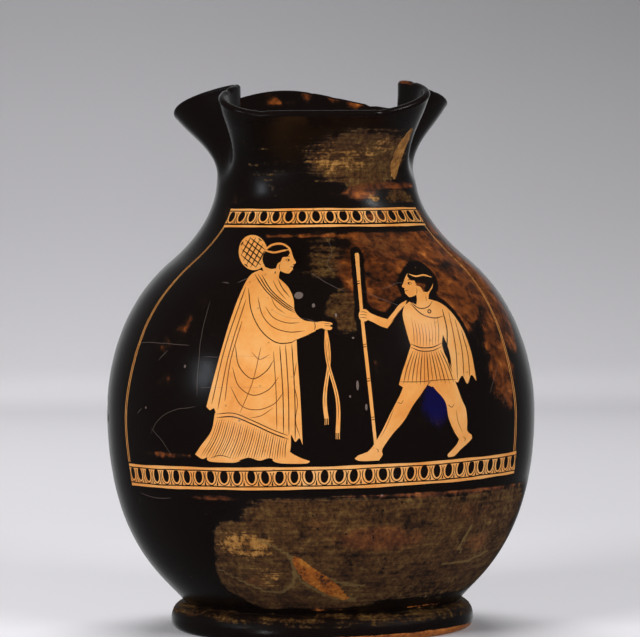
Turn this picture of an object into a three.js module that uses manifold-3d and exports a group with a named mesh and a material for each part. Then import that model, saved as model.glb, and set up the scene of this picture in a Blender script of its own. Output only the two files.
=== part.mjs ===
// A wheel-thrown wine jug of fired clay: a ring foot, a round belly, a short neck, a mouth
// pressed into three lobes, and a low strap handle behind. All of it is one fired piece.
// Millimetres, +Z up. The origin is on the axis, at the underside of the foot. The painted
// side faces -Y. Angles round the axis are in degrees, 0 at the front and growing towards +X.

import * as THREE from 'three';
import { mergeVertices } from 'three/addons/utils/BufferGeometryUtils.js';
import Module from 'manifold-3d';

const wasm = await Module();
wasm.setup();

// Foot: a swelling ring, hollowed underneath
const footHeight = 12;
const footRadius = 66.6;
const footSwellLevel = 3.4;
const footEdgeRound = 2.2;
const restingRingWidth = 10;
const recessDepth = 7;
const recessRise = 1.2;
const recessRound = 5;
const waistRadius = 61.1;
const waistGroove = 0.7;

// Body: heights are those of its stretches, from the foot up
const lowerBellyHeight = 83;
const upperBellyHeight = 65.6;
const neckHeight = 37.4;
const flareHeight = 24.2;
const bellyRadius = 94.2;
const shoulderRadius = 66;
const shoulderSlope = 40.6;
const waistSlope = 55.6;
const neckRadius = 43.8;
const lipRadius = 64;
const lipSlope = 47;
const neckSway = 1.2;

// How far each curve of the body holds its direction at its lower and upper end, as shares of
// its stretch's height
const waistPull = 0.13;
const lowBellyPull = 0.72;
const highBellyPull = 0.16;
const shoulderPull = 0.52;
const neckRootPull = 0.16;
const neckPull = 0.51;
const neckTopPull = 0.33;
const lipPull = 0.48;

// Clay
const bodyWall = 4.6;
const neckWall = 4;
const lipWall = 3.4;
const floorThickness = 5;
const floorInset = 5.1;
const floorDish = 3;

// Mouth: the round lip is pushed out (or in, below 0) and lifted, each push fading over its
// width in degrees to either side. The folds start narrow at the neck and widen to the lip.
const pressedHeight = 29;
const pressSoftStart = 0.35;
const foldNarrowing = 0.5;
const pushes = [
  { at: -70, reach: -25.5, width: 48 },
  { at: 83, reach: -24.3, width: 50 },
  { at: -112, reach: 2, width: 45 },
  { at: 125, reach: 3.8, width: 45 },
  { at: 193.7, reach: -6, width: 50 },
];
const lifts = [
  { at: -70, reach: 14.4, width: 50 },
  { at: 81, reach: 15.7, width: 60 },
  { at: 140, reach: 3, width: 45 },
  { at: 193.7, reach: 13.2, width: 58 },
];

// Handle: a strap of oval section from the lip to the shoulder. Its roots are shares of the
// way up the flare and up the upper belly, and its bend is measured from the lower root.
const handleAngle = 193.7;
const strapWidth = 24;
const strapThickness = 9;
const handleOverhang = 11;
const handleBendHeight = 47;
const rootOnFlare = 0.8;
const rootOnShoulder = 0.82;
const rootRise = 3.5;
const topHold = 0.6;
const bendHoldAbove = 0.75;
const bendHoldBelow = 0.5;
const lowHold = 0.75;
const lowRise = 0.3;
const rootSwell = 0.4;
const rootSwellLength = 14;

// Fineness of the faces
const sidesRound = 62;
const strapSides = 18;
const strapSteps = 24;
const foldCrowding = 0.4;
const crowdingAngle = 6;
const lipTurns = 4;
const nudge = 0.05;

// Levels that follow from the heights
const bellyLevel = footHeight + lowerBellyHeight;
const shoulderLevel = bellyLevel + upperBellyHeight;
const neckLevel = shoulderLevel + neckHeight;
const lipLevel = neckLevel + flareHeight;
const pressLevel = lipLevel - pressedHeight;
const floorLevel = recessDepth + recessRise + floorThickness;

const radians = THREE.MathUtils.degToRad;

// A direction in the section plane, sloping up by the given angle; outward is 1 or -1
function sloping(degrees, outward) {
  return new THREE.Vector2(outward * Math.cos(radians(degrees)), Math.sin(radians(degrees)));
}

// A cubic from one point to another, with the direction and the pull at either end
function sweep(start, startDirection, startPull, end, endDirection, endPull) {
  const leave = start.clone().addScaledVector(startDirection, startPull);
  const arrive = end.clone().addScaledVector(endDirection, -endPull);
  return new THREE.CubicBezierCurve(start, leave, arrive, end);
}

// The outer skin of the thrown pot from the waist to the lip, before the mouth is pressed
const waist = new THREE.Vector2(waistRadius, footHeight);
const belly = new THREE.Vector2(bellyRadius, bellyLevel);
const shoulder = new THREE.Vector2(shoulderRadius, shoulderLevel);
const neck = new THREE.Vector2(neckRadius, neckLevel);
const lip = new THREE.Vector2(lipRadius, lipLevel);
const upright = new THREE.Vector2(0, 1);
const waistDirection = sloping(waistSlope, 1);
const shoulderDirection = sloping(shoulderSlope, -1);
const lipDirection = sloping(lipSlope, 1);
const lowerBelly = sweep(
  waist, waistDirection, waistPull * lowerBellyHeight,
  belly, upright, lowBellyPull * lowerBellyHeight,
);
const upperBelly = sweep(
  belly, upright, highBellyPull * upperBellyHeight,
  shoulder, shoulderDirection, shoulderPull * upperBellyHeight,
);
const neckCurve = sweep(
  shoulder, shoulderDirection, neckRootPull * neckHeight,
  neck, upright, neckPull * neckHeight,
);
const flare = sweep(
  neck, upright, neckTopPull * flareHeight,
  lip, lipDirection, lipPull * flareHeight,
);
const stretches = [
  { curve: lowerBelly, steps: 7 },
  { curve: upperBelly, steps: 8 },
  { curve: neckCurve, steps: 5 },
  { curve: flare, steps: 7 },
];

// Stations up the outer skin, each with its place and its direction
function skinStations() {
  const stations = [];
  for (const { curve, steps } of stretches) {
    const first = stations.length ? 1 : 0;
    for (let step = first; step <= steps; step++) {
      const along = step / steps;
      stations.push({ place: curve.getPointAt(along), direction: curve.getTangentAt(along) });
    }
  }
  return stations;
}

// Clay thickness at a level of the thrown pot
function wallAt(level) {
  if (level > neckLevel) {
    return THREE.MathUtils.mapLinear(level, neckLevel, lipLevel, neckWall, lipWall);
  }
  const thinned = THREE.MathUtils.smoothstep(level, bellyLevel, neckLevel);
  return THREE.MathUtils.lerp(bodyWall, neckWall, thinned);
}

// The foot's section from the axis underneath to the groove at the waist
function footOutline() {
  const point = (radius, level) => new THREE.Vector2(radius, level);
  const outward = sloping(0, 1);
  const inward = sloping(0, -1);
  const downward = upright.clone().negate();
  const innerEdge = footRadius - footEdgeRound - restingRingWidth;
  const recess = sweep(
    point(innerEdge - recessRound, recessDepth), outward, recessRound / 2,
    point(innerEdge, 0), downward, recessDepth / 2,
  );
  const edge = sweep(
    point(footRadius - footEdgeRound, 0), outward, footEdgeRound / 2,
    point(footRadius, footSwellLevel), upright, footSwellLevel / 2,
  );
  const swell = sweep(
    point(footRadius, footSwellLevel), upright, footHeight / 2,
    point(waistRadius - waistGroove, footHeight - waistGroove), inward, (footRadius - waistRadius) / 2,
  );
  return [
    point(0, recessDepth + recessRise),
    ...recess.getSpacedPoints(3),
    ...edge.getSpacedPoints(2),
    ...swell.getSpacedPoints(4).slice(1),
  ];
}

// The closed section of the pot. Each entry is a place on the outer skin with its direction,
// and how far the clay's surface lies out from it and along it.
function potSection() {
  const plain = (place) => ({ place, out: 0, along: 0 });
  const floorRadius = waistRadius - floorInset;
  const section = footOutline().map(plain);
  const stations = skinStations();
  for (const station of stations) {
    section.push({ ...station, out: 0, along: 0 });
  }
  const rim = stations.at(-1);
  for (let turn = 1; turn < lipTurns; turn++) {
    const angle = (Math.PI * turn) / lipTurns;
    section.push({
      ...rim,
      out: (lipWall / 2) * (Math.cos(angle) - 1),
      along: (lipWall / 2) * Math.sin(angle),
    });
  }
  for (const station of stations.slice(1).reverse()) {
    section.push({ ...station, out: -wallAt(station.place.y), along: 0 });
  }
  section.push(
    plain(new THREE.Vector2(floorRadius, floorLevel + floorDish)),
    plain(new THREE.Vector2(floorRadius / 2, floorLevel + floorDish / 8)),
    plain(new THREE.Vector2(0, floorLevel)),
  );
  return section;
}

// 1 at the middle of a push, falling smoothly to 0 at its width
function fade(angle, middle, width) {
  const off = Math.abs(THREE.MathUtils.euclideanModulo(angle - middle + 180, 360) - 180);
  return off < width ? 0.5 + 0.5 * Math.cos((Math.PI * off) / width) : 0;
}

// How far the lip goes out at an angle, with every push's width narrowed or spread by a share
function pushAt(angle, spread) {
  let sum = 0;
  for (const { at, reach, width } of pushes) {
    sum += reach * fade(angle, at, width * spread) ** 2;
  }
  return sum;
}

// How far the lip goes up at an angle
function liftAt(angle) {
  let sum = 0;
  for (const { at, reach, width } of lifts) {
    sum += reach * fade(angle, at, width);
  }
  return sum;
}

// How far a height of the mouth follows the pressing: none at 0, its foot, and all at 1, the lip
function pressShare(height) {
  const soft = pressSoftStart;
  const rise = height < soft ? (height * height) / (2 * soft) : height - soft / 2;
  return rise / (1 - soft / 2);
}

// The point of the pressed skin at an angle, from a point of the thrown section
function pressed(angle, point) {
  const height = Math.max(0, (point.y - pressLevel) / pressedHeight);
  const share = pressShare(height);
  const spread = THREE.MathUtils.lerp(foldNarrowing, 1, Math.min(height, 1));
  const radius = point.x + share * pushAt(angle, spread);
  const level = point.y + share * liftAt(angle);
  const sway = neckSway * THREE.MathUtils.smoothstep(point.y, shoulderLevel, neckLevel);
  const turn = radians(angle);
  return new THREE.Vector3(radius * Math.sin(turn) - sway, -radius * Math.cos(turn), level);
}

// The clay's surface at an angle: the pressed skin, then out along its normal and on along it.
// A point on the axis stays there.
function claySurface(angle, { place, direction, out, along }) {
  if (place.x === 0) {
    return new THREE.Vector3(0, 0, place.y);
  }
  const skin = pressed(angle, place);
  if (out === 0 && along === 0) {
    return skin;
  }
  const above = place.clone().addScaledVector(direction, nudge);
  const below = place.clone().addScaledVector(direction, -nudge);
  const upward = pressed(angle, above).sub(pressed(angle, below)).normalize();
  const aside = pressed(angle + nudge, place).sub(pressed(angle - nudge, place));
  const normal = aside.cross(upward).normalize();
  return skin.addScaledVector(normal, out).addScaledVector(upward, along);
}

// A closed body turned from a section, each of its points placed on the pressed clay
function turned(section) {
  const outline = section.map(({ place }) => place);
  const geometry = new THREE.LatheGeometry(outline, sidesRound);
  const positions = geometry.getAttribute('position');
  for (let side = 0; side <= sidesRound; side++) {
    const even = (360 * (side % sidesRound)) / sidesRound;
    const crowded = Math.sin(radians(2 * (even - crowdingAngle)));
    const angle = even + THREE.MathUtils.radToDeg((foldCrowding / 2) * crowded);
    section.forEach((entry, index) => {
      const point = claySurface(angle, entry);
      positions.setXYZ(side * section.length + index, point.x, point.y, point.z);
    });
  }
  return geometry;
}

// The hollow with half of the wall round it, closed above the lip
function coreSection() {
  const inside = skinStations().map((station) => ({
    ...station,
    out: -wallAt(station.place.y) / 2,
    along: 0,
  }));
  const rim = inside.at(-1);
  return [
    { place: new THREE.Vector2(0, recessDepth + floorThickness / 2), out: 0, along: 0 },
    ...inside,
    { ...rim, along: strapThickness },
    { place: new THREE.Vector2(0, lipLevel + strapWidth), out: 0, along: 0 },
  ];
}

// The handle's middle line in the plane of X and Z, with X as the distance from the axis.
// Both ends lie inside the wall.
function handleCurve() {
  const turn = radians(handleAngle);
  const outward = new THREE.Vector3(Math.sin(turn), -Math.cos(turn), 0);
  const inPlane = (radius, level) => new THREE.Vector3(radius, 0, level);
  const onLip = pressed(handleAngle, flare.getPointAt(rootOnFlare));
  const onShoulder = pressed(handleAngle, upperBelly.getPointAt(rootOnShoulder));
  const lipRootRadius = onLip.dot(outward) - neckWall;
  const shoulderRadiusThere = onShoulder.dot(outward);
  const shoulderRootRadius = shoulderRadiusThere - bodyWall;
  const reach = shoulderRadiusThere + handleOverhang;
  const bendLevel = onShoulder.z + handleBendHeight;
  const bend = inPlane(reach, bendLevel);
  const curve = new THREE.CurvePath();
  curve.add(new THREE.CubicBezierCurve3(
    inPlane(lipRootRadius, onLip.z),
    inPlane(THREE.MathUtils.lerp(lipRootRadius, reach, topHold), onLip.z + rootRise),
    inPlane(reach, THREE.MathUtils.lerp(bendLevel, onLip.z, bendHoldAbove)),
    bend,
  ));
  curve.add(new THREE.CubicBezierCurve3(
    bend,
    inPlane(reach, THREE.MathUtils.lerp(bendLevel, onShoulder.z, bendHoldBelow)),
    inPlane(
      THREE.MathUtils.lerp(shoulderRootRadius, reach, lowHold),
      THREE.MathUtils.lerp(onShoulder.z, bendLevel, lowRise),
    ),
    inPlane(shoulderRootRadius, onShoulder.z),
  ));
  return curve;
}

// The strap's oval section, wide along X and thick along Y
function strapShape() {
  const shape = new THREE.Shape();
  shape.absellipse(0, 0, strapWidth / 2, strapThickness / 2, 0, 2 * Math.PI, false, 0);
  return shape;
}

// The strap swept along its line, swelling where it joins the pot, and turned to its angle
function strap() {
  const curve = handleCurve();
  const geometry = new THREE.ExtrudeGeometry(strapShape(), {
    steps: strapSteps,
    curveSegments: strapSides / 2,
    extrudePath: curve,
    bevelEnabled: false,
  });
  const length = curve.getLength();
  const line = curve.getSpacedPoints(8 * strapSteps);
  const positions = geometry.getAttribute('position');
  const point = new THREE.Vector3();
  for (let index = 0; index < positions.count; index++) {
    point.fromBufferAttribute(positions, index);
    const distances = line.map((onLine) => onLine.distanceTo(point));
    const nearest = distances.indexOf(Math.min(...distances));
    const along = (length * nearest) / (line.length - 1);
    const toRoot = Math.min(along, length - along);
    const swell = 1 + rootSwell * (1 - THREE.MathUtils.smoothstep(toRoot, 0, rootSwellLength));
    point.sub(line[nearest]).multiplyScalar(swell).add(line[nearest]);
    positions.setXYZ(index, point.x, point.y, point.z);
  }
  return geometry.rotateZ(radians(handleAngle - 90));
}

function toSolid(geometry) {
  const bare = geometry.clone();
  bare.deleteAttribute('normal');
  bare.deleteAttribute('uv');
  const merged = mergeVertices(bare, 1e-3);
  return new wasm.Manifold(new wasm.Mesh({
    numProp: 3,
    vertProperties: merged.getAttribute('position').array,
    triVerts: new Uint32Array(merged.index.array),
  }));
}

function toGeometry(solid) {
  const mesh = solid.getMesh();
  const geometry = new THREE.BufferGeometry();
  geometry.setAttribute('position', new THREE.BufferAttribute(mesh.vertProperties, 3));
  geometry.setIndex(new THREE.BufferAttribute(mesh.triVerts, 1));
  geometry.computeVertexNormals();
  return geometry;
}

const pot = toSolid(turned(potSection()));
const core = toSolid(turned(coreSection()));
const handle = toSolid(strap()).subtract(core);

const glossBlack = new THREE.MeshStandardMaterial({ color: 0x1d1815, roughness: 0.34, metalness: 0 });
const jug = new THREE.Mesh(toGeometry(pot.add(handle)), glossBlack);
jug.name = 'jug';

const object = new THREE.Group();
object.add(jug);

export default object;
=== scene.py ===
import math

import bpy
import numpy as np
from mathutils import Matrix, Vector
from mathutils.geometry import delaunay_2d_cdt
from mathutils.kdtree import KDTree


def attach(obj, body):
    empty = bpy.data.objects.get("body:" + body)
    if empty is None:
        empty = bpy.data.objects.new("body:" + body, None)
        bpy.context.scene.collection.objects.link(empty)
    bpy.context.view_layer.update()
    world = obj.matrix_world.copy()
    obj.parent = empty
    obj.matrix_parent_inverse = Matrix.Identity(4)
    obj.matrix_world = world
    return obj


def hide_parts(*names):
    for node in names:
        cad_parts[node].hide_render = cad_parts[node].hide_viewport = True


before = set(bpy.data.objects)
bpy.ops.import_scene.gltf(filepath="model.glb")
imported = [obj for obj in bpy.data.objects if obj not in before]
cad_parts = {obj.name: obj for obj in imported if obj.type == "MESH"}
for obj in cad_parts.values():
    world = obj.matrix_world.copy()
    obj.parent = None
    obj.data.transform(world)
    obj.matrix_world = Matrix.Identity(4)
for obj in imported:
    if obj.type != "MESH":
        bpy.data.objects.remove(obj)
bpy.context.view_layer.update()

MM = 0.001

# Foot
FOOT_HEIGHT = 12.0
FOOT_RADIUS = 66.6
FOOT_SWELL_LEVEL = 3.4
FOOT_EDGE_ROUND = 2.2
RESTING_RING_WIDTH = 10.0
RECESS_DEPTH = 7.0
RECESS_RISE = 1.2
RECESS_ROUND = 5.0
WAIST_RADIUS = 61.1
WAIST_GROOVE = 0.7

# Body, as heights of its stretches from the foot up
LOWER_BELLY_HEIGHT = 83.0
UPPER_BELLY_HEIGHT = 65.6
NECK_HEIGHT = 37.4
FLARE_HEIGHT = 24.2
BELLY_RADIUS = 94.2
SHOULDER_RADIUS = 66.0
SHOULDER_SLOPE = 40.6
WAIST_SLOPE = 55.6
NECK_RADIUS = 43.8
LIP_RADIUS = 64.0
LIP_SLOPE = 47.0
NECK_SWAY = 1.2

# How far each curve of the body holds its direction at its ends, as shares of its height
WAIST_PULL = 0.13
LOW_BELLY_PULL = 0.72
HIGH_BELLY_PULL = 0.16
SHOULDER_PULL = 0.52
NECK_ROOT_PULL = 0.16
NECK_PULL = 0.51
NECK_TOP_PULL = 0.33
LIP_PULL = 0.48

# Clay
BODY_WALL = 4.6
NECK_WALL = 4.0
LIP_WALL = 3.4
FLOOR_THICKNESS = 5.0
FLOOR_INSET = 5.1
FLOOR_DISH = 3.0

# Mouth: (middle angle, reach, width) of each push out and of each lift of the round lip
PRESSED_HEIGHT = 29.0
PRESS_SOFT_START = 0.35
FOLD_NARROWING = 0.5
PUSHES = ((-70, -25.5, 48), (83, -24.3, 50), (-112, 2, 45), (125, 3.8, 45), (193.7, -6, 50))
LIFTS = ((-70, 14.4, 50), (81, 15.7, 60), (140, 3, 45), (193.7, 13.2, 58))

# Handle
HANDLE_ANGLE = 193.7
STRAP_WIDTH = 24.0
STRAP_THICKNESS = 9.0
HANDLE_OVERHANG = 11.0
HANDLE_BEND_HEIGHT = 47.0
ROOT_ON_FLARE = 0.8
ROOT_ON_SHOULDER = 0.82
ROOT_RISE = 3.5
TOP_HOLD = 0.6
BEND_HOLD_ABOVE = 0.75
BEND_HOLD_BELOW = 0.5
LOW_HOLD = 0.75
LOW_RISE = 0.3
ROOT_SWELL = 0.4
ROOT_SWELL_LENGTH = 14.0
FILLET_SWELL = 0.14
FILLET_LENGTH = 12.0

# Levels that follow from the heights
BELLY_LEVEL = FOOT_HEIGHT + LOWER_BELLY_HEIGHT
SHOULDER_LEVEL = BELLY_LEVEL + UPPER_BELLY_HEIGHT
NECK_LEVEL = SHOULDER_LEVEL + NECK_HEIGHT
LIP_LEVEL = NECK_LEVEL + FLARE_HEIGHT
PRESS_LEVEL = LIP_LEVEL - PRESSED_HEIGHT
FLOOR_LEVEL = RECESS_DEPTH + RECESS_RISE + FLOOR_THICKNESS

# The painted front, cut out of the body's mesh along its own rows and columns
PANEL_LEFT = -76
PANEL_RIGHT = 80
PANEL_LOW = 58.0
PANEL_HIGH = 190.0

# The clay unrolled round the axis: the length of one degree
UNROLLED = 1.571
PANEL_STEP = 1.6

# The framed field's sides, as (angle, level) from the upper band to the lower one
SIDE_LEFT = (
    (-52.6, 176.2), (-54.8, 168), (-57.7, 155), (-60.3, 140), (-61.5, 118), (-62.8, 95), (-62.2, 76),
)
SIDE_RIGHT = (
    (63.4, 176.2), (63.8, 168), (63.2, 155), (61.9, 136), (61.4, 116), (62.2, 98), (62.0, 79.4),
)

# The egg bands below and above the field: (left, right, level of the lower edge in front, its rise
# in one degree, height, pitch of the eggs, widths of the clay lines and the gaps inside them)
EGG_BANDS = (
    (-62.2, 63.8, 67.6, 0.03, 9.5, 6.1, (1.15, 0.55, 0.5, 1.2)),
    (-52.8, 65.2, 175.9, 0.0, 7.9, 6.0, (0.95, 0.7, 0.45, 0.85)),
)

# Small dents in the skin: (angle, level, half its width, half its height, depth)
DENTS = (
    (-86, 98.5, 5.0, 2.2, 0.8), (-81, 93, 2.2, 2.4, 0.45), (-19, 50, 1.3, 1.0, 0.3),
    (2, 59.5, 1.0, 0.8, 0.35), (13, 32, 2.6, 1.6, 0.35), (44, 44, 1.6, 3.2, 0.3), (47, 41, 1.7, 1.3, 0.4),
    (-28, 41, 1.8, 1.3, 0.4), (-22, 35, 1.6, 1.0, 0.3), (-8, 142.5, 1.8, 1.4, 0.2),
    (-4, 139, 0.8, 0.8, 0.25), (-35, 200, 3.2, 1.6, 0.3), (35, 193, 2.2, 1.2, 0.25),
    (-24, 188.5, 1.2, 0.9, 0.25), (60, 60, 2.2, 1.1, 0.3), (-60, 60, 1.4, 1.2, 0.25),
)

# Scratches and hair cracks: (width, points as (angle, level))
SCRATCHES = (
    (0.3, ((-60, 127), (-53, 127.4), (-45, 127), (-38, 126.6))),
    (0.3, ((-35.5, 145), (-35, 134), (-34, 118), (-33.6, 106))),
    (0.25, ((-50, 89), (-47, 95), (-42, 99.5), (-34, 102))), (0.25, ((-50, 92), (-45, 86), (-42, 80))),
    (0.45, ((-34, 153), (-31, 152.6))), (0.45, ((-28, 153), (-24.5, 155))),
    (0.4, ((-49, 120), (-46, 124))), (0.35, ((-14, 141.5), (-9, 138.6), (-4, 138.2))),
    (0.35, ((-4, 138.2), (1, 136))), (0.28, ((14, 149), (20, 145), (27, 140.4))),
    (0.3, ((-3, 157), (2, 153), (8, 149.5))), (0.3, ((3, 172), (5, 166), (2.6, 161), (5, 157))),
    (0.2, ((-33, 122), (-22, 122.3), (-13, 122))), (0.2, ((-33, 109.6), (-20, 110), (-14, 109.4))),
    (0.3, ((50, 105), (53, 112), (56, 118))), (0.3, ((56, 100), (60, 108))),
    (0.4, ((-56, 97), (-54, 99.5))), (0.3, ((-58, 63), (-50, 61.6), (-44, 62))),
    (0.25, ((20, 150), (26, 152), (30, 151))),
)
# Small pale spots: (angle, level, half width, half height)
PALE_SPOTS = (
    (-6.5, 147.6, 2.2, 1.5), (-1.9, 143.4, 0.8, 0.9), (9.5, 110.5, 0.55, 2.1), (11.6, 101.5, 0.5, 1.4),
    (4.6, 139.4, 0.5, 0.9), (9, 130, 0.5, 0.4), (7.5, 106, 0.45, 0.5), (-21, 96, 0.5, 0.5),
    (-38.5, 118, 0.5, 0.7), (16, 64.5, 0.5, 0.5), (-52, 100, 0.5, 0.5),
)

# Zones of the skin: (strength, (angle, level), (half width, half height), softness).
# Gloss that was fired thin and brown
THIN_PATCHES = (
    (1.0, (37, 156), (31, 25), 0.35), (0.8, (66, 152), (15, 34), 0.5), (0.9, (48, 193.2), (28, 1.8), 0.6),
    (0.78, (57, 118), (8, 24), 0.6), (0.55, (84, 168), (14, 16), 0.7),
    (0.9, (-10, 172.4), (34, 1.0), 0.7), (0.9, (38, 64.0), (40, 1.2), 0.7),
    (0.53, (-49, 127), (7, 6), 0.8), (0.54, (-42, 134), (4, 7), 0.8), (0.45, (-46, 112), (8, 4.5), 0.9),
    (0.85, (-43, 80.6), (11, 1.5), 0.7), (0.5, (-36, 146), (4, 6), 0.8), (0.9, (77, 236), (9, 5), 0.5),
    (0.45, (12, 118), (6, 12), 0.9), (0.55, (30, 190), (26, 3), 0.8), (0.5, (-52, 185), (14, 7), 0.8),
    (0.85, (17, 46), (14, 6), 0.8), (0.5, (-4, 52), (8, 4), 0.8), (0.55, (45, 56), (14, 5), 0.8),
    (0.5, (-24, 27), (8, 5), 0.8), (0.5, (52, 40), (12, 6), 0.8), (0.45, (25, 95), (16, 6), 0.9),
    (0.75, (-30, 63.2), (9, 1.6), 0.6), (0.7, (-10, 63.6), (7, 1.0), 0.6),
    (0.6, (140, 150), (9, 14), 0.8), (0.55, (-128, 60), (16, 6), 0.8), (0.6, (206, 44), (13, 7), 0.8),
    (0.6, (178, 172), (18, 3), 0.8),
)
# The same on the inside of the mouth's rim
INSIDE_PATCHES = (
    (0.78, (200.5, 233), (5, 3.6), 0.9), (0.7, (192, 231.5), (4, 2.6), 0.9),
    (0.76, (186, 234), (4, 3.4), 0.9), (0.7, (172.5, 233), (4, 3), 0.9),
    (0.78, (163, 231), (5, 3.4), 0.9),
)
# Gloss that is rubbed dull
WORN_PATCHES = (
    (0.45, (0, 9.6), (200, 3), 0.6), (0.5, (160, 70), (20, 9), 0.8), (0.45, (-110, 140), (12, 12), 0.8),
    (0.95, (26, 205), (30, 12), 0.5), (0.8, (7, 141), (5.5, 9), 0.3), (0.55, (2, 163), (7, 11), 0.5),
    (0.6, (52, 188), (16, 4), 0.6), (0.55, (30, 168), (14, 5), 0.8), (0.5, (66, 150), (5, 20), 0.9),
    (0.24, (-18, 207), (28, 11), 0.6),
)
# The large dull patch low on the belly: the angle of its left edge by level
LOW_PATCH_EDGE = ((14, 22, 31, 49, 60), (-24, -35, -35.2, -31, -27))
# Ochre earth on the skin
OCHRE_PATCHES = (
    (1.0, (50.5, 207), (4.6, 11), 0.25), (0.58, (-22, 43), (11, 7), 0.5),
    (0.5, (34, 188.5), (7, 2.6), 0.6), (0.46, (12, 205), (26, 10), 0.6), (0.5, (38, 211), (12, 4), 0.6),
    (0.42, (-16, 30), (10, 8), 0.9),
)
# Clay that shows where the gloss has gone
BALD_PATCHES = (
    (0.6, (1, 14), (24, 1.6), 0.6), (0.5, (170, 4), (30, 4), 0.7), (0.5, (-110, 5), (16, 4), 0.7),
    (0.55, (42, 13.5), (20, 1.6), 0.6), (0.5, (-60, 8), (12, 3), 0.9),
)
# The same at the foot's edge, where it is strongest on the right, and on the lip
FOOT_EDGE_PATCH = ((36, 0.8), (50, 2.4), 0.4)
FOOT_EDGE_BALD = 0.42
LIP_BALD = 0.3
# Pale seams beside the orange scar: (points as (angle, level), half width)
OCHRE_LINES = (
    (((-18, 46), (-12, 41.5), (-7, 37), (-1, 30.5), (6, 26.5), (14, 25)), 1.3),
    (((-10, 40), (-8.5, 34), (-7, 28), (-1, 22.5), (5, 19.5), (12, 18.6)), 1.3),
    (((-34, 32), (-27, 27), (-20, 22.6), (-14, 22), (-9.5, 26), (-8.4, 33)), 1.2),
    (((47, 49), (45.5, 44), (44.5, 39.5), (46, 38)), 1.3), (((40, 33), (52, 33), (62, 36)), 1.1),
)
# The deep blue patch in the gloss: middle, half size, softness
BLUE_SPOT = ((31.4, 102.5), (4.4, 8.6), 0.6)
# The orange scar: the line along its middle, its half width there, and the oval that thins it
# towards both ends
LENS = ((-8.0, 37.5), (-4.5, 31), (3.5, 23.5), (9.5, 18.4))
LENS_HALF = 3.5
LENS_REACH = ((-1, 28.5), (9.5, 12.5), 0.6)

# How far clear of the picture the thick outline round it reaches at most
CLEAR_REACH = 6.0

# Fineness of the meshes, and of the steps that measure a slope
SIDES_ROUND = 360
OUTER_STEP = 1.5
INNER_STEP = 3.0
TOUCHING = 1e-6
FINEST = 1e-12
WELD = 1e-4
NUDGE = 0.05
NORMAL_NUDGE = 0.3
UPRIGHT = np.array([0.0, 1.0])


def smoothstep(value, low, high):
    share = np.clip((value - low) / (high - low), 0.0, 1.0)
    return share * share * (3 - 2 * share)


def lerp(start, end, share):
    return start + (end - start) * share


def unit(vectors):
    return vectors / np.maximum(np.linalg.norm(vectors, axis=-1, keepdims=True), FINEST)


def from_middle(angle, middle=0.0):
    """How far an angle lies from a middle one, between -180 and 180."""
    return (angle - middle + 180) % 360 - 180


def lengths_along(line):
    """How far along a line each of its points lies."""
    return np.append(0, np.cumsum(np.linalg.norm(np.diff(line, axis=0), axis=1)))


def read_off(value, places, pairs):
    """Pairs of numbers that go with places, read off at values between these places."""
    return np.stack([np.interp(value, places, pairs[:, axis]) for axis in (0, 1)], axis=-1)


# Sections of the pot, as points (distance from the axis, level)


def sloping(degrees, outward):
    """A direction that rises by an angle; outward is 1 or -1."""
    turn = math.radians(degrees)
    return np.array([outward * math.cos(turn), math.sin(turn)])


def cubic(start, leave, arrive, end, count):
    """Points of a cubic curve from its two ends and the two points that it bends towards."""
    t = np.linspace(0, 1, count)[:, None]
    near, far = (1 - t) ** 2, t ** 2
    return near * (1 - t) * start + 3 * near * t * leave + 3 * (1 - t) * far * arrive + far * t * end


def sweep(start, start_way, start_pull, end, end_way, end_pull, count):
    """Points of a cubic curve with a direction and a pull at either end."""
    start, end = np.array(start, float), np.array(end, float)
    return cubic(start, start + start_way * start_pull, end - end_way * end_pull, end, count)


def skin_stretches(count):
    """The four curves of the outer skin from the waist to the lip, before the mouth is pressed."""
    waist, waist_way = (WAIST_RADIUS, FOOT_HEIGHT), sloping(WAIST_SLOPE, 1)
    belly = (BELLY_RADIUS, BELLY_LEVEL)
    shoulder, shoulder_way = (SHOULDER_RADIUS, SHOULDER_LEVEL), sloping(SHOULDER_SLOPE, -1)
    neck = (NECK_RADIUS, NECK_LEVEL)
    lip, lip_way = (LIP_RADIUS, LIP_LEVEL), sloping(LIP_SLOPE, 1)
    stretches = (
        (LOWER_BELLY_HEIGHT, waist, waist_way, WAIST_PULL, belly, UPRIGHT, LOW_BELLY_PULL),
        (UPPER_BELLY_HEIGHT, belly, UPRIGHT, HIGH_BELLY_PULL, shoulder, shoulder_way, SHOULDER_PULL),
        (NECK_HEIGHT, shoulder, shoulder_way, NECK_ROOT_PULL, neck, UPRIGHT, NECK_PULL),
        (FLARE_HEIGHT, neck, UPRIGHT, NECK_TOP_PULL, lip, lip_way, LIP_PULL),
    )
    return [
        sweep(start, start_way, start_pull * tall, end, end_way, end_pull * tall, count)
        for tall, start, start_way, start_pull, end, end_way, end_pull in stretches
    ]


STRETCHES = skin_stretches(600)
SKIN = np.vstack([STRETCHES[0]] + [stretch[1:] for stretch in STRETCHES[1:]])
SKIN_WAYS = unit(np.gradient(SKIN, axis=0))


def radius_at(level):
    return np.interp(level, SKIN[:, 1], SKIN[:, 0])


def way_at(level):
    """The direction of the outer skin's section at a level."""
    return unit(read_off(level, SKIN[:, 1], SKIN_WAYS))


def wall_at(level):
    """Clay thickness at a level of the thrown pot."""
    low = lerp(BODY_WALL, NECK_WALL, smoothstep(level, BELLY_LEVEL, NECK_LEVEL))
    high = lerp(NECK_WALL, LIP_WALL, (level - NECK_LEVEL) / FLARE_HEIGHT)
    return np.where(level > NECK_LEVEL, high, low)


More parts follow.
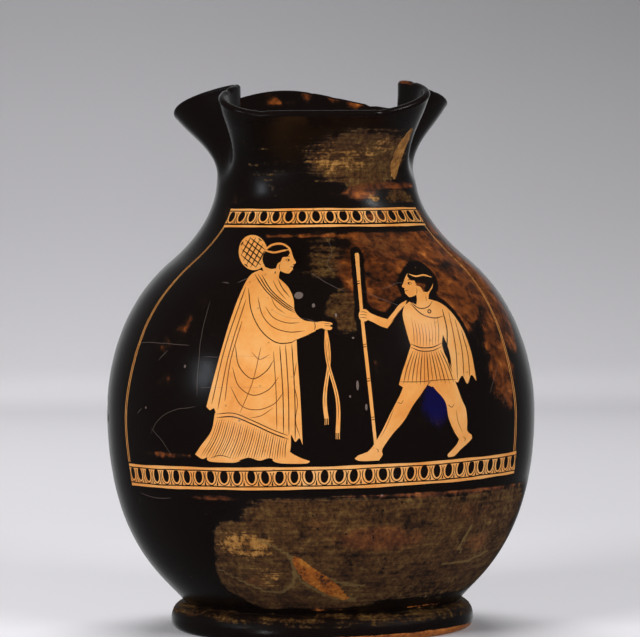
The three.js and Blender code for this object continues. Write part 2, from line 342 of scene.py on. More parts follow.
def foot_outline():
    """The foot's section from near the axis underneath to the groove at the waist."""
    outward, inward = sloping(0, 1), sloping(0, -1)
    outer_edge = FOOT_RADIUS - FOOT_EDGE_ROUND
    inner_edge = outer_edge - RESTING_RING_WIDTH
    recess_edge = inner_edge - RECESS_ROUND
    dish = np.linspace((6, RECESS_DEPTH + RECESS_RISE), (recess_edge, RECESS_DEPTH), 12)
    recess = sweep(
        (recess_edge, RECESS_DEPTH), outward, RECESS_ROUND / 2,
        (inner_edge, 0), -UPRIGHT, RECESS_DEPTH / 2, 9,
    )
    edge = sweep(
        (outer_edge, 0), outward, FOOT_EDGE_ROUND / 2,
        (FOOT_RADIUS, FOOT_SWELL_LEVEL), UPRIGHT, FOOT_SWELL_LEVEL / 2, 7,
    )
    swell = sweep(
        (FOOT_RADIUS, FOOT_SWELL_LEVEL), UPRIGHT, FOOT_HEIGHT / 2,
        (WAIST_RADIUS - WAIST_GROOVE, FOOT_HEIGHT - WAIST_GROOVE), inward,
        (FOOT_RADIUS - WAIST_RADIUS) / 2, 14,
    )
    ring = [(lerp(inner_edge, outer_edge, share), 0) for share in (0.02, 0.5, 0.98)]
    return np.vstack([dish[:-1], recess, ring, edge, swell[1:]])


# The pressed clay


def fade(angle, middle, width):
    """1 at the middle of a push, falling smoothly to 0 at its width."""
    off = np.abs(from_middle(angle, middle))
    return np.where(off < width, 0.5 + 0.5 * np.cos(np.pi * off / width), 0.0)


def press_share(height):
    """How far a height of the mouth follows the pressing: none at 0, its foot, and all at 1."""
    soft = PRESS_SOFT_START
    rise = np.where(height < soft, height * height / (2 * soft), height - soft / 2)
    return rise / (1 - soft / 2)


def pressed(angle, radius, level):
    """Points of the pressed skin at angles, from points of the thrown section."""
    height = np.maximum(0.0, (level - PRESS_LEVEL) / PRESSED_HEIGHT)
    share = press_share(height)
    spread = lerp(FOLD_NARROWING, 1.0, np.minimum(height, 1.0))
    push = sum(reach * fade(angle, at, width * spread) ** 2 for at, reach, width in PUSHES)
    lift = sum(reach * fade(angle, at, width) for at, reach, width in LIFTS)
    sway = NECK_SWAY * smoothstep(level, SHOULDER_LEVEL, NECK_LEVEL)
    turn = np.radians(angle)
    out = radius + share * push
    x = out * np.sin(turn) - sway
    y = -out * np.cos(turn)
    return np.stack(np.broadcast_arrays(x, y, level + share * lift), axis=-1)


def clay_surface(angle, place, way, out, along):
    """The clay's surface: the pressed skin, then out along its normal and on along it."""
    radius, level = place[..., 0], place[..., 1]
    skin = pressed(angle, radius, level)
    above = pressed(angle, radius + way[..., 0] * NUDGE, level + way[..., 1] * NUDGE)
    below = pressed(angle, radius - way[..., 0] * NUDGE, level - way[..., 1] * NUDGE)
    upward = unit(above - below)
    aside = pressed(angle + NUDGE, radius, level) - pressed(angle - NUDGE, radius, level)
    normal = unit(np.cross(aside, upward))
    return skin + normal * np.asarray(out)[..., None] + upward * np.asarray(along)[..., None]


def throwing_marks(angle, level):
    """How far the outer skin stands out or in from the true form: rings from the wheel, and
    a slow unevenness."""
    turn = np.radians(angle)
    rings = np.sin(level / 1.9 + 0.6 * np.sin(turn + 1)) * (0.5 + 0.5 * np.sin(level / 11.0 + 2.0))
    slow = np.sin(2 * turn + level / 31.0) + 0.7 * np.sin(3 * turn - level / 19.0 + 1.3)
    marks = 0.03 * rings + (0.08 * slow - 0.15) * smoothstep(level, FOOT_HEIGHT, FOOT_HEIGHT + 30)
    for middle, height, wide, tall, depth in DENTS:
        reach = np.hypot(from_middle(angle, middle) * UNROLLED / wide, (level - height) / tall)
        marks = marks - depth * (1 - smoothstep(reach, 0.2, 1.2))
    return marks


def outer_point(angle, level):
    """Points of the outer skin at angles and levels."""
    place = np.stack([radius_at(level), level], axis=-1)
    return clay_surface(angle, place, way_at(level), throwing_marks(angle, level), 0.0)


def outer_normal(angle, level):
    step = NORMAL_NUDGE
    turn = np.degrees(step / radius_at(level))
    aside = outer_point(angle + turn, level) - outer_point(angle - turn, level)
    low = np.maximum(level - step, FOOT_HEIGHT)
    high = np.minimum(level + step, LIP_LEVEL)
    return unit(np.cross(aside, outer_point(angle, high) - outer_point(angle, low)))


# The painted picture


# Thicknesses of the gloss, the strength of a scratch, and how far it covers the colour below
BARE = 0.0
INK = 0.82
THICK = 0.97
SCRATCHED = 0.4
SCRATCH_COVER = 0.75


def curve(*points, step=1.0):
    """A smooth open line through given points."""
    given = np.array(points, float)
    padded = np.vstack([2 * given[0] - given[1], given, 2 * given[-1] - given[-2]])
    parts = []
    for a, b, c, d in zip(padded, padded[1:], padded[2:], padded[3:]):
        count = max(2, int(np.linalg.norm(c - b) / step) + 1)
        t = np.linspace(0, 1, count, endpoint=False)[:, None]
        bend = 2 * b + (c - a) * t + (2 * a - 5 * b + 4 * c - d) * t * t
        parts.append(0.5 * (bend + (3 * b - a - 3 * c + d) * t ** 3))
    return np.vstack(parts + [given[-1:]])


def outline(*pieces):
    """A closed outline of smooth lines that meet at corners: each goes on from where the one
    before it ended, and the last one ends where the first began."""
    parts, start = [], ()
    for piece in pieces[:-1] + ((*pieces[-1], pieces[0][0]),):
        line = (*start, *piece)
        start = line[-1:]
        parts.append(curve(*line)[:-1])
    return np.vstack(parts)


def oval(middle, half_width, half_height, lean, count):
    turn = np.linspace(0, 2 * np.pi, count, endpoint=False)
    across, up = half_width * np.cos(turn), half_height * np.sin(turn)
    lean = math.radians(lean)
    return np.stack([
        middle[0] + across * math.cos(lean) - up * math.sin(lean),
        middle[1] + across * math.sin(lean) + up * math.cos(lean),
    ], axis=1)


class Picture:
    """What the painter did, in order, on the clay unrolled: outlines with a thickness of gloss.
    A painter's points are (across, up) as seen from the front, or (along, up) in a band."""

    def __init__(self):
        self.marks = []

    def fill(self, points, tone=BARE, wrap=None):
        self.marks.append(((wrap or wrap_front)(np.asarray(points, float)), tone))

    def stroke(self, points, width, tone, ends=0.35, wrap=None):
        """A brush line that thins to a share of its width at its ends."""
        line = np.asarray(points, float)
        gaps = np.linalg.norm(np.diff(line, axis=0), axis=1)
        line = line[np.append(True, gaps > TOUCHING)]
        lengths = lengths_along(line)
        to_end = np.minimum(lengths, lengths[-1] - lengths)
        taper = ends + (1 - ends) * smoothstep(to_end, 0, min(3.0, lengths[-1] * 0.3))
        way = unit(np.gradient(line, axis=0))
        side = np.stack([-way[:, 1], way[:, 0]], axis=1) * (width / 2 * taper)[:, None]
        self.fill(np.vstack([line + side, (line - side)[::-1]]), tone, wrap)

    def draw(self, *lines):
        """Smooth brush lines, each given as its width, its tone and its points."""
        for width, tone, *points in lines:
            self.stroke(curve(*points), width, tone)


def wrap_front(points):
    """From (across, up) as seen from the front to the clay unrolled: (angle's length, level)."""
    across, level = points[:, 0], points[:, 1]
    sway = NECK_SWAY * smoothstep(level, SHOULDER_LEVEL, NECK_LEVEL)
    angle = np.degrees(np.arcsin(np.clip((across + sway) / radius_at(level), -0.999, 0.999)))
    return np.stack([angle * UNROLLED, level], axis=1)


def wrap_angle(points):
    """From (angle, level) to the clay unrolled."""
    return points * (UNROLLED, 1.0)


def wrapped(points):
    """Points that are on the clay unrolled already."""
    return points


def halfway(start, end, aside):
    """The point half-way between two others, moved aside."""
    return (start[0] + end[0]) / 2 + aside, (start[1] + end[1]) / 2


def woman(picture):
    """A woman in a cloak over a pleated dress, facing right, holding out a ribbon."""
    fill, stroke, draw = picture.fill, picture.stroke, picture.draw
    dress = outline(
        ((-44, 99), (-45.6, 91.5), (-50.2, 85), (-52.6, 81.4)),
        ((-49.5, 79.6), (-46.5, 80.8), (-43, 79.4), (-39, 80.6), (-34.5, 79.3)),
        ((-30, 80.7), (-25.5, 79.5), (-21.5, 80.6), (-17.5, 79.6), (-14, 80.6)),
        ((-12.6, 84.5), (-12.4, 90)),
        ((-25, 96),),
    )
    back_foot = outline(
        ((-46.5, 82), (-47.6, 80), (-46.6, 78.7), (-41, 78.4), (-36, 78.5), (-33.6, 79.2)),
        ((-37, 81), (-40, 82.5)),
        (),
    )
    front_foot = outline(
        ((-19.5, 81.5), (-20, 79.6), (-17, 78.5), (-10, 78.3), (-5.6, 78.5), (-4.6, 79.4)),
        ((-8.5, 80.8), (-12, 82.6), (-13.5, 84)),
        (),
    )
    cloak = outline(
        (
            (-25.2, 158.2), (-29.4, 155.8), (-33.2, 149), (-37.2, 138.5), (-41, 126), (-44.6, 113),
            (-47.6, 101.5),
        ),
        ((-46, 100), (-44.4, 101), (-43.2, 97.2)),
        ((-36, 97.6), (-28, 94.6), (-20, 91), (-13.4, 88.6)),
        ((-12.2, 90.2), (-10.6, 87.4), (-8.9, 89), (-7.6, 86.2)),
        ((-8, 98), (-8.6, 110), (-9.4, 121), (-9.8, 129.5)),
        ((-5.6, 131.2), (-1.8, 133)),
        ((-2.2, 136.6),),
        ((-7, 137.6), (-10.4, 141), (-11, 146), (-13.2, 151), (-17.4, 155)),
        ((-21, 156.6),),
    )
    hand = outline(
        ((-2, 133.2), (0.6, 134.1), (2.6, 133.3), (4.7, 133.5), (5.1, 134.4)),
        ((3.8, 135), (5.2, 135.6), (4.6, 136.4), (3, 136.6), (1, 136.9), (-2.2, 136.5)),
        (),
    )
    head = outline(
        (
            (-23.5, 157), (-24.6, 161), (-24, 165.6), (-20.6, 168.8), (-16, 169.4), (-12.6, 167.4),
            (-11.6, 165),
        ),
        ((-11, 163.2), (-10, 161.4)),
        ((-10.2, 160.7), (-11.2, 160.5)),
        ((-10.9, 159.7), (-11.3, 159.2), (-11.2, 158.5), (-11.9, 157.6)),
        ((-12.9, 156.7), (-14.6, 156.9), (-16.6, 157.8)),
        ((-17.2, 155.8), (-17, 154)),
        ((-22, 154),),
    )
    hair = outline(
        ((-12.5, 165.2), (-13.6, 163.6), (-15.6, 163.4), (-16.4, 161.6), (-17.6, 160.9), (-18.4, 158.8)),
        ((-20.6, 158.6), (-23, 159.4)),
        ((-24.2, 162.6), (-23.2, 165.6), (-20.2, 168), (-16.2, 168.6), (-13.4, 167.2)),
        (),
    )
    net_middle = (-28.2, 165.4)
    net = oval(net_middle, 6.2, 7.4, 12, 26)
    for shape in (dress, back_foot, front_foot, cloak, hand, head, net):
        fill(shape)
    fill(hair, THICK)
    # The hair net's mesh, its drawn string and the band round the hair
    for lean in (-38, 62):
        way = sloping(lean, 1)
        side = np.array([-way[1], way[0]])
        for place in np.arange(-6, 6.1, 2.0):
            line = np.array([net_middle + side * place + way * reach for reach in np.linspace(-8, 8, 33)])
            local = line - net_middle
            turn = math.radians(-12)
            u = local[:, 0] * math.cos(turn) - local[:, 1] * math.sin(turn)
            v = local[:, 0] * math.sin(turn) + local[:, 1] * math.cos(turn)
            inside = (u / 5.6) ** 2 + (v / 6.8) ** 2 < 1
            if inside.sum() > 2:
                stroke(line[inside], 0.5, 0.9)
    draw(
        (0.8, BARE, (-23.8, 166.4), (-19.5, 165.4), (-16, 166), (-12.8, 166.6)),
        (0.7, BARE, (-23.6, 158.6), (-24.4, 160.6), (-24.4, 163)),
        # Face: brow, eye, nostril, mouth, jaw and ear ring
        (0.28, 0.85, (-12.5, 163.5), (-13.6, 163.9), (-14.8, 163.5)),
        (0.28, 0.9, (-12.3, 162.4), (-13.3, 162.7), (-14.4, 162.3)),
        (0.22, 0.8, (-12.6, 161.9), (-13.5, 161.8), (-14.3, 162.2)),
    )
    fill(oval((-13, 162.2), 0.32, 0.34, 0, 8), 0.95)
    draw(
        (0.25, 0.85, (-11.1, 159.5), (-11.9, 159.4), (-12.5, 159.6)),
        (0.25, 0.6, (-16.6, 158), (-17, 159.6), (-16.6, 160.8)),
        (0.5, 0.85, (-18.6, 157.6), (-18.9, 156.6)),
    )
    # Cloak: the folded edge from the back shoulder to the forearm
    for shift in (0.0, 1.5, 3.0):
        draw((
            0.42, INK, (-27.4 + shift, 156.4 - shift * 0.1), (-22.5 + shift * 0.8, 149.5),
            (-15.5 + shift * 0.6, 143.4 + shift * 0.2), (-10.6 + shift * 0.1, 140.6 + shift * 0.5),
        ))
    draw(
        (0.38, INK, (-17.6, 154.6), (-15.6, 150.6), (-12.6, 147)),
        (0.34, 0.6, (-19.6, 153.8), (-17.6, 150), (-14.2, 146)),
        # Folds round the bent arm
        (
            0.42, INK, (-30, 150.5), (-28.6, 141), (-24.4, 133), (-18.4, 128.4), (-12.6, 128.2),
            (-9.8, 129.5),
        ),
        (0.36, 0.62, (-26, 147), (-24, 139.5), (-19.5, 134.6), (-13, 132.6), (-6.4, 133)),
        (0.34, 0.6, (-22.8, 143), (-19.5, 138.6), (-14, 136.4), (-8.4, 136.4)),
        (0.3, 0.5, (-20.5, 147.2), (-18.4, 143), (-14.6, 140.2)),
    )
    # Long folds down the back
    for tone, top, low in (
        (0.8, (-31.2, 151), (-45.4, 102.6)),
        (0.62, (-31, 146), (-42.8, 100.5)),
        (0.55, (-32.6, 137), (-39.8, 104)),
    ):
        draw((0.38, tone, top, halfway(top, low, -1.2), low))
    draw(
        # Folds hung from the hip, and from the front edge
        (0.38, 0.7, (-35.4, 127), (-33.8, 118.5), (-28.4, 113.4), (-22.6, 116.4), (-19.4, 121)),
        (0.36, 0.62, (-36.6, 118), (-34, 110.4), (-28, 106.6), (-21.4, 109), (-17.4, 114)),
        (0.34, 0.58, (-37.4, 110), (-33, 102.4), (-26.4, 100.6), (-19.4, 103), (-15.2, 108)),
        (0.3, 0.5, (-28.6, 124.4), (-25.2, 121.4), (-21, 123.4)),
        (0.3, 0.5, (-24.6, 126.4), (-28.2, 112), (-33.4, 99.4)),
        (0.3, 0.5, (-19.8, 101.4), (-24.6, 98.2), (-29.4, 97.2)),
    )
    # The front edge's zigzag and its upright folds
    for tone, top, low in (
        (INK, (-16.8, 127), (-15.4, 91)),
        (0.7, (-14.4, 127.4), (-13.2, 90.2)),
        (INK, (-11.8, 127.6), (-10.6, 88.4)),
    ):
        draw((0.4, tone, top, (halfway(top, low, 0.5)[0], 108), low))
    draw(
        (0.32, 0.6, (-9.9, 120), (-11, 112), (-9.6, 104), (-10.4, 96), (-8.6, 89.5)),
        (0.32, 0.6, (-19.4, 124.6), (-18.4, 108), (-18.2, 92.4)),
        # The cloak's lower border, doubled
        (0.38, 0.75, (-43.4, 98.6), (-36, 99), (-28, 96), (-20, 92.4), (-13.6, 90)),
        (0.5, 0.9, (-43.2, 97.1), (-36, 97.5), (-28, 94.5), (-20, 90.9), (-13.4, 88.5)),
    )
    # The dress's pleats, from under the cloak to the hem
    pleats = 34
    for index in range(1, pleats):
        share = index / pleats
        top = (-43.6 + 30.4 * share, 96.8 - 8.6 * share ** 1.4)
        foot = (-51.2 + 37.4 * share, 80.4 + 0.5 * math.sin(9 * share * math.pi))
        width, tone = (0.24, 0.5) if index % 3 else (0.36, 0.72)
        draw((width, tone, top, halfway(top, foot, 1.3 * (1 - share) - 0.3), foot))
    draw(
        (0.3, 0.8, (-46, 80.2), (-42, 81.4), (-37.6, 80.4)),
        # Bracelet and fingers
        (0.35, 0.85, (-2.3, 133.3), (-2.0, 135), (-2.4, 136.6)),
        (0.22, 0.8, (1.8, 135.2), (3.4, 135), (4.6, 134.9)),
        (0.22, 0.7, (1.6, 136), (3.2, 135.9), (4.6, 135.7)),
    )


def ribbon(picture):
    """A ribbon that hangs in two tails from the woman's hand."""
    fill, stroke = picture.fill, picture.stroke
    for shift, low, bend in ((0.0, 97.0, 1.0), (4.6, 91.0, -1.0)):
        levels = np.linspace(133.2, low, 24)
        fallen = 133.2 - levels
        sway = bend * 1.1 * np.sin(fallen / 6.2)
        left = np.stack([2.0 + shift * fallen / fallen[-1] + sway, levels], axis=1)
        width = 1.0 + 0.8 * fallen / fallen[-1]
        right = left + np.stack([width, 0 * width], axis=1)
        fill(np.vstack([left, right[::-1]]))
        middle = (left + right) / 2
        stroke(middle[2:-3], 0.22, 0.7)
        for reach in (0.15, 0.5, 0.85):
            start = left[-1] + (right[-1] - left[-1]) * reach
            stroke(np.array([start, start + (0.2 * (reach - 0.5), -2.6)]), 0.32, BARE, ends=0.8)


def youth(picture):
    """A youth in a short tunic and a cloak, striding left with a staff."""
    fill, draw = picture.fill, picture.draw
    staff = outline(
        ((14.9, 164.6), (16.2, 165), (16.7, 164.2)),
        ((17.4, 150), (18.8, 132), (21.4, 106), (23.8, 80.2)),
        ((22.6, 80),),
        ((20.2, 104), (17.5, 131), (16, 150)),
    )
    cloak = outline(
        ((45, 145.5), (51, 143.4), (56, 139), (60.4, 132), (63.4, 124), (65, 116), (65.8, 110.6)),
        ((63.6, 113.2), (61.8, 109.6), (59.6, 113.2), (57.4, 110.4), (55.4, 114.6)),
        ((54, 124), (50, 134)),
    )
    front_leg = outline(
        ((35.6, 113), (33.4, 107), (31.4, 103.2), (28.6, 98), (25.4, 91.6), (21.6, 85.4), (19.4, 83)),
        ((17.4, 82.2), (15.2, 81.4), (13.9, 80.2)),
        ((15.5, 79.3), (19, 79.1), (24, 79.2)),
        (
            (25.6, 81.6), (25.4, 83.8), (29.4, 89.6), (34.6, 95.4), (38.4, 101.6), (43, 107.6),
            (46.5, 112.5),
        ),
        (),
    )
    back_leg = outline(
        (
            (44.5, 113.5), (47.5, 108.5), (51, 104.5), (52.6, 101.4), (53.6, 95.6), (55.8, 90.2),
            (58, 86.6),
        ),
        ((57, 84.6), (54.6, 82), (53, 80.4), (53.4, 79.3)),
        ((56, 79.7), (58.6, 82.2), (61.6, 84.6), (63.6, 86.6), (63.4, 88.2)),
        ((61.6, 90), (61.6, 94.4), (61, 99.4), (59.4, 103), (57.6, 108), (55.6, 113.5)),
        (),
    )
    tunic = outline(
        ((37.6, 144.4), (35.4, 142.6), (34.6, 139), (35.6, 134), (36.8, 129.5), (37.8, 126.4)),
        ((36, 121), (34, 115.4), (32.6, 110.4)),
        ((35, 109), (37.6, 110.2), (40.4, 108.8), (43.4, 110.2), (46.6, 109)),
        ((49.8, 110.6), (52.8, 109.4), (55.8, 111), (57.4, 110.4)),
        ((55, 117), (52.2, 122.4), (51, 126.6)),
        ((51.8, 132), (52.6, 137.4), (51.4, 141.4), (47.4, 144.4)),
        ((42.4, 142.6),),
    )
    arm = outline(
        ((35.8, 143), (32.6, 140), (30.4, 136.6), (28, 133.6)),
        ((25.2, 134.6), (22.2, 136.2), (20, 137.2)),
        ((18.6, 136.6), (17, 137.2), (16.2, 138.6), (16.4, 140.6), (17.8, 141.8)),
        ((19.6, 141.4), (20.8, 140.2), (24.4, 138.6), (28.2, 137.4)),
        ((31, 140.6), (33.4, 143.4), (36.4, 145)),
        (),
    )
    head = outline(
        (
            (45.6, 141.4), (46, 147.2), (47.8, 150.4), (47.6, 154.6), (44.8, 157.8), (40.6, 158.4),
            (37.4, 156.6),
        ),
        ((36.3, 154.9), (35.2, 152.2), (34.6, 150.9)),
        ((34.8, 150.3), (35.8, 150.1)),
        ((35.5, 149.3), (35.9, 148.7), (35.8, 148), (36.6, 147.1)),
        ((37.6, 146.2), (39.2, 146.5), (40.6, 147.2)),
        ((40.8, 145), (40.2, 141.4)),
        (),
    )
    hair = outline(
        ((36.9, 154.8), (38.4, 153.2), (40, 153), (40.8, 151), (42.4, 150.4), (43.6, 148.4)),
        ((45.6, 148.2), (47.2, 150.2), (48.2, 153), (46.8, 156.6), (43.6, 158.6), (39.6, 158.2)),
        ((37.4, 156.8),),
    )
    for shape in (staff, cloak, back_leg, front_leg, arm, tunic, head):
        fill(shape)
    fill(hair, THICK)
    draw(
        (0.7, BARE, (37.6, 155.8), (40.6, 154.8), (44, 155.2), (47.4, 154.2)),
        # Face
        (0.28, 0.85, (37, 153.2), (38.1, 153.5), (39.2, 153)),
        (0.28, 0.9, (36.8, 152.1), (37.8, 152.3), (38.8, 151.9)),
        (0.22, 0.8, (37.1, 151.6), (38, 151.5), (38.8, 151.8)),
    )
    fill(oval((37.5, 151.9), 0.3, 0.32, 0, 8), 0.95)
    draw(
        (0.25, 0.85, (35.8, 149), (36.5, 148.9), (37.1, 149.1)),
        (0.25, 0.6, (40.6, 147.4), (41, 149), (40.6, 150)),
        (0.24, 0.55, (44.6, 146.6), (44.8, 144.4)),
        # Tunic: neckline, belt, folds above and below it
        (0.38, INK, (37.8, 144.3), (41.6, 141.6), (45.4, 142), (47.4, 144.3)),
        (0.45, 0.9, (37.8, 127), (42, 125.4), (47, 125.4), (51, 127)),
        (0.4, 0.85, (37.9, 125.6), (42, 124), (47, 124), (51, 125.6)),
    )
    for index in range(9):
        share = (index + 0.5) / 9
        top = (37.4 + 12.6 * share, 138.6 - 3.4 * math.sin(share * math.pi))
        low = (38.6 + 11.6 * share, 126.8 - 0.9 * math.sin(share * math.pi))
        draw((0.26, 0.5, top, halfway(top, low, 0.4), low))
    for index in range(13):
        share = (index + 0.5) / 13
        top = (38.2 + 12.6 * share, 124.2 - 0.8 * math.sin(share * math.pi))
        low = (33.6 + 23.2 * share, 110.6 + 0.5 * math.sin(13 * share))
        width, tone = (0.3, 0.55) if index % 2 else (0.38, 0.78)
        draw((width, tone, top, halfway(top, low, share - 0.5), low))
    draw(
        (0.28, 0.7, (32.8, 111.6), (37.6, 111.4), (43.4, 111.4), (49.8, 111.8), (57, 111.6)),
        # Cloak: its edge over the shoulder, and hanging folds
        (0.42, 0.85, (38, 143.6), (42.6, 139.2), (48, 137.4), (52.4, 138.2)),
        (0.45, 0.9, (51.6, 141), (53.4, 132), (53.2, 122), (55.2, 114.8)),
    )
    for top, low in (
        ((54.4, 139.6), (57.6, 111.4)), ((57, 136.4), (60.4, 112.6)), ((59.6, 132.2), (63, 112)),
    ):
        draw((0.34, 0.68, top, halfway(top, low, 0.9), low))
    fill(oval((46, 140.2), 0.9, 0.9, 0, 10), 0.9)
    fill(oval((46, 140.2), 0.45, 0.45, 0, 8), BARE)
    draw(
        # Arm, hand and fingers
        (0.26, 0.5, (35.4, 142.8), (32.4, 139.4), (29.6, 136)),
    )
    for level in (138.2, 139.4, 140.5):
        draw((0.22, 0.75, (16.6, level), (18.2, level + 0.1), (19.6, level - 0.3)))
    draw(
        # Legs: knees, shins, ankles, and the staff's knots
        (0.28, 0.6, (31.6, 103.4), (33.4, 102.6), (34.4, 104)),
        (0.24, 0.45, (30.4, 100.6), (27.6, 94), (24.8, 88.8)),
        (0.28, 0.6, (22.8, 84.2), (23.8, 83.4), (23.4, 82.4)),
        (0.28, 0.6, (53.2, 101.4), (55, 100.2), (56, 101.6)),
        (0.24, 0.45, (56.8, 99), (57.6, 94), (59.6, 89.4)),
        (0.28, 0.6, (59.8, 87.4), (60.8, 86.6), (60.2, 85.6)),
        (0.3, 0.75, (46.4, 112), (43.6, 108.4), (40.6, 104)),
    )
    for level in (96, 112, 126, 152):
        share = (level - 80) / 84.6
        middle = 23.2 - 7.6 * share - 1.3 * math.sin(share * math.pi) * share
        draw(
            (0.35, 0.85, (middle - 1.1, level), (middle + 0.9, level + 0.4)),
            (0.3, 0.75, (middle - 1.1, level + 1), (middle + 0.9, level + 1.4)),
        )


def egg_band(picture, rng, left, right, level, rise, height, pitch, lines):
    """A band of hanging eggs between border lines of bare clay."""
    reach = math.radians(1) * radius_at(level + rise * (left + right) / 2 + height / 2)
    clay_low, gap_low, gap_high, clay_high = lines

    def wrap(points):
        angle = left + points[:, 0] / reach
        return np.stack([angle * UNROLLED, level + rise * angle + points[:, 1]], axis=1)

    def level_line(up):
        along = np.arange(0, length + 1.5, 1.5)
        wobble = 0.1 * np.sin(along / 7.0 + up) + 0.06 * np.sin(along / 2.9 + 2 * up)
        return np.stack([np.minimum(along, length), up + wobble], axis=1)

    length = (right - left) * reach
    low, high = level_line(0.0), level_line(height)
    picture.fill(np.vstack([low, high[::-1]]), BARE, wrap)
    egg_low = clay_low + gap_low
    egg_high = height - clay_high - gap_high
    picture.stroke(level_line(clay_low + gap_low / 2), gap_low, 0.93, 1.0, wrap)
    picture.stroke(level_line(height - clay_high - gap_high / 2), gap_high, 0.93, 1.0, wrap)
    count = round(length / pitch)
    tall = egg_high - egg_low
    for index in range(count):
        middle = (index + 0.5) * length / count + rng.uniform(-0.15, 0.15)
        lean = rng.uniform(-0.2, 0.2)
        wide = pitch * rng.uniform(0.27, 0.31)
        heart = egg_high - tall * rng.uniform(0.36, 0.42)

        def egg(grow, first, last, turns):
            """Part of an egg's rim, cut flat by the line above it."""
            turn = np.radians(np.linspace(first, last, turns))
            across = middle + (wide + grow) * np.cos(turn) + lean * np.sin(turn)
            up = heart - (tall * 0.46 + grow * 0.86) * np.sin(turn)
            return np.stack([across, np.minimum(up, egg_high)], axis=1)

        picture.fill(egg(0.0, -75, 255, 16), THICK, wrap)
        picture.stroke(egg(1.0, -32, 212, 17), 0.4, 0.9, 1.0, wrap)
        edge = middle + pitch / 2
        if index < count - 1:
            foot = egg_low + 0.1
            dart = ((edge - 0.45, foot), (edge + 0.45, foot), (edge, egg_low + tall * 0.42))
            picture.fill(dart, 0.9, wrap)


def side_line(picture, points):
    """Two thin lines of bare clay beside each other down a side of the framed field."""
    line = curve(*[(UNROLLED * angle, level) for angle, level in points])
    for shift in (0.0, 1.3):
        picture.stroke(line + (shift, 0), 0.45, 0.05, 1.0, wrapped)


def paint_front():
    """The framed scene, from its border to the last brush lines."""
    picture = Picture()
    rng = np.random.default_rng(11)
    for band in EGG_BANDS:
        egg_band(picture, rng, *band)
    for side in (SIDE_LEFT, SIDE_RIGHT):
        side_line(picture, side)
    woman(picture)
    ribbon(picture)
    youth(picture)
    return picture.marks


def scratches():
    """Hair cracks and scratches that came later, over paint and clay alike."""
    picture = Picture()
    for width, line in SCRATCHES:
        rng = np.random.default_rng(len(picture.marks))
        path = curve(*line, step=1.4) * (UNROLLED, 1)
        path += np.cumsum(rng.normal(0, 0.09, path.shape), axis=0)
        picture.stroke(path, width, SCRATCHED, 0.3, wrapped)
    for angle, level, wide, tall in PALE_SPOTS:
        picture.fill(oval((angle, level), wide / UNROLLED, tall, 0, 9), 1.0, wrap_angle)
    return picture.marks


def inside_outline(points, outline_points):
    """Which points lie inside a closed outline."""
    low, high = outline_points.min(axis=0), outline_points.max(axis=0)
    near = np.flatnonzero(np.all((points >= low) & (points <= high), axis=1))
    start, end = outline_points, np.roll(outline_points, -1, axis=0)
    x, y = points[near, 0, None], points[near, 1, None]
    crosses = (start[:, 1] > y) != (end[:, 1] > y)
    rise = np.where(end[:, 1] == start[:, 1], FINEST, end[:, 1] - start[:, 1])
    left_of = x < start[:, 0] + (y - start[:, 1]) * (end[:, 0] - start[:, 0]) / rise
    return near[np.count_nonzero(crosses & left_of, axis=1) % 2 == 1]


# Meshes


def add_object(name, data):
    made = bpy.data.objects.new(name, data)
    bpy.context.scene.collection.objects.link(made)
    return made


def make_piece(name, points, faces, material, normals=None, values=None):
    """A mesh piece of the jug from points in millimetres, riding on the jug's only body."""
    mesh = bpy.data.meshes.new(name)
    mesh.from_pydata((points * MM).tolist(), [], faces)
    mesh.shade_smooth()
    for key, (domain, data) in (values or {}).items():
        layer = mesh.attributes.new(key, "FLOAT", domain)
        layer.data.foreach_set("value", np.asarray(data, np.float32))
    if normals is not None:
        mesh.normals_split_custom_set_from_vertices(normals.tolist())
    mesh.materials.append(material)
    piece = add_object(name, mesh)
    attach(piece, "root")
    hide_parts("jug")
    return piece


def grid_faces(rows, columns, skip=None):
    """Quads of a grid that closes on itself sideways; skip(row, column) marks left-out ones."""
    row, column = np.meshgrid(np.arange(rows - 1), np.arange(columns), indexing="ij")
    keep = np.ones(row.shape, bool) if skip is None else ~skip(row, column)
    row, column = row[keep], column[keep]
    beside = (column + 1) % columns
    corners = [row * columns + column, row * columns + beside]
    corners += [(row + 1) * columns + beside, (row + 1) * columns + column]
    return np.stack(corners, axis=1)


def outer_levels():
    """Levels of the rows of the outer skin, with rows at the painted front's lower and upper
    edge."""
    stretches = ((FOOT_HEIGHT, PANEL_LOW), (PANEL_LOW, PANEL_HIGH), (PANEL_HIGH, LIP_LEVEL))
    levels = [FOOT_HEIGHT]
    for low, high in stretches:
        steps = round((high - low) / OUTER_STEP)
        levels += [lerp(low, high, step / steps) for step in range(1, steps + 1)]
    return np.array(levels)


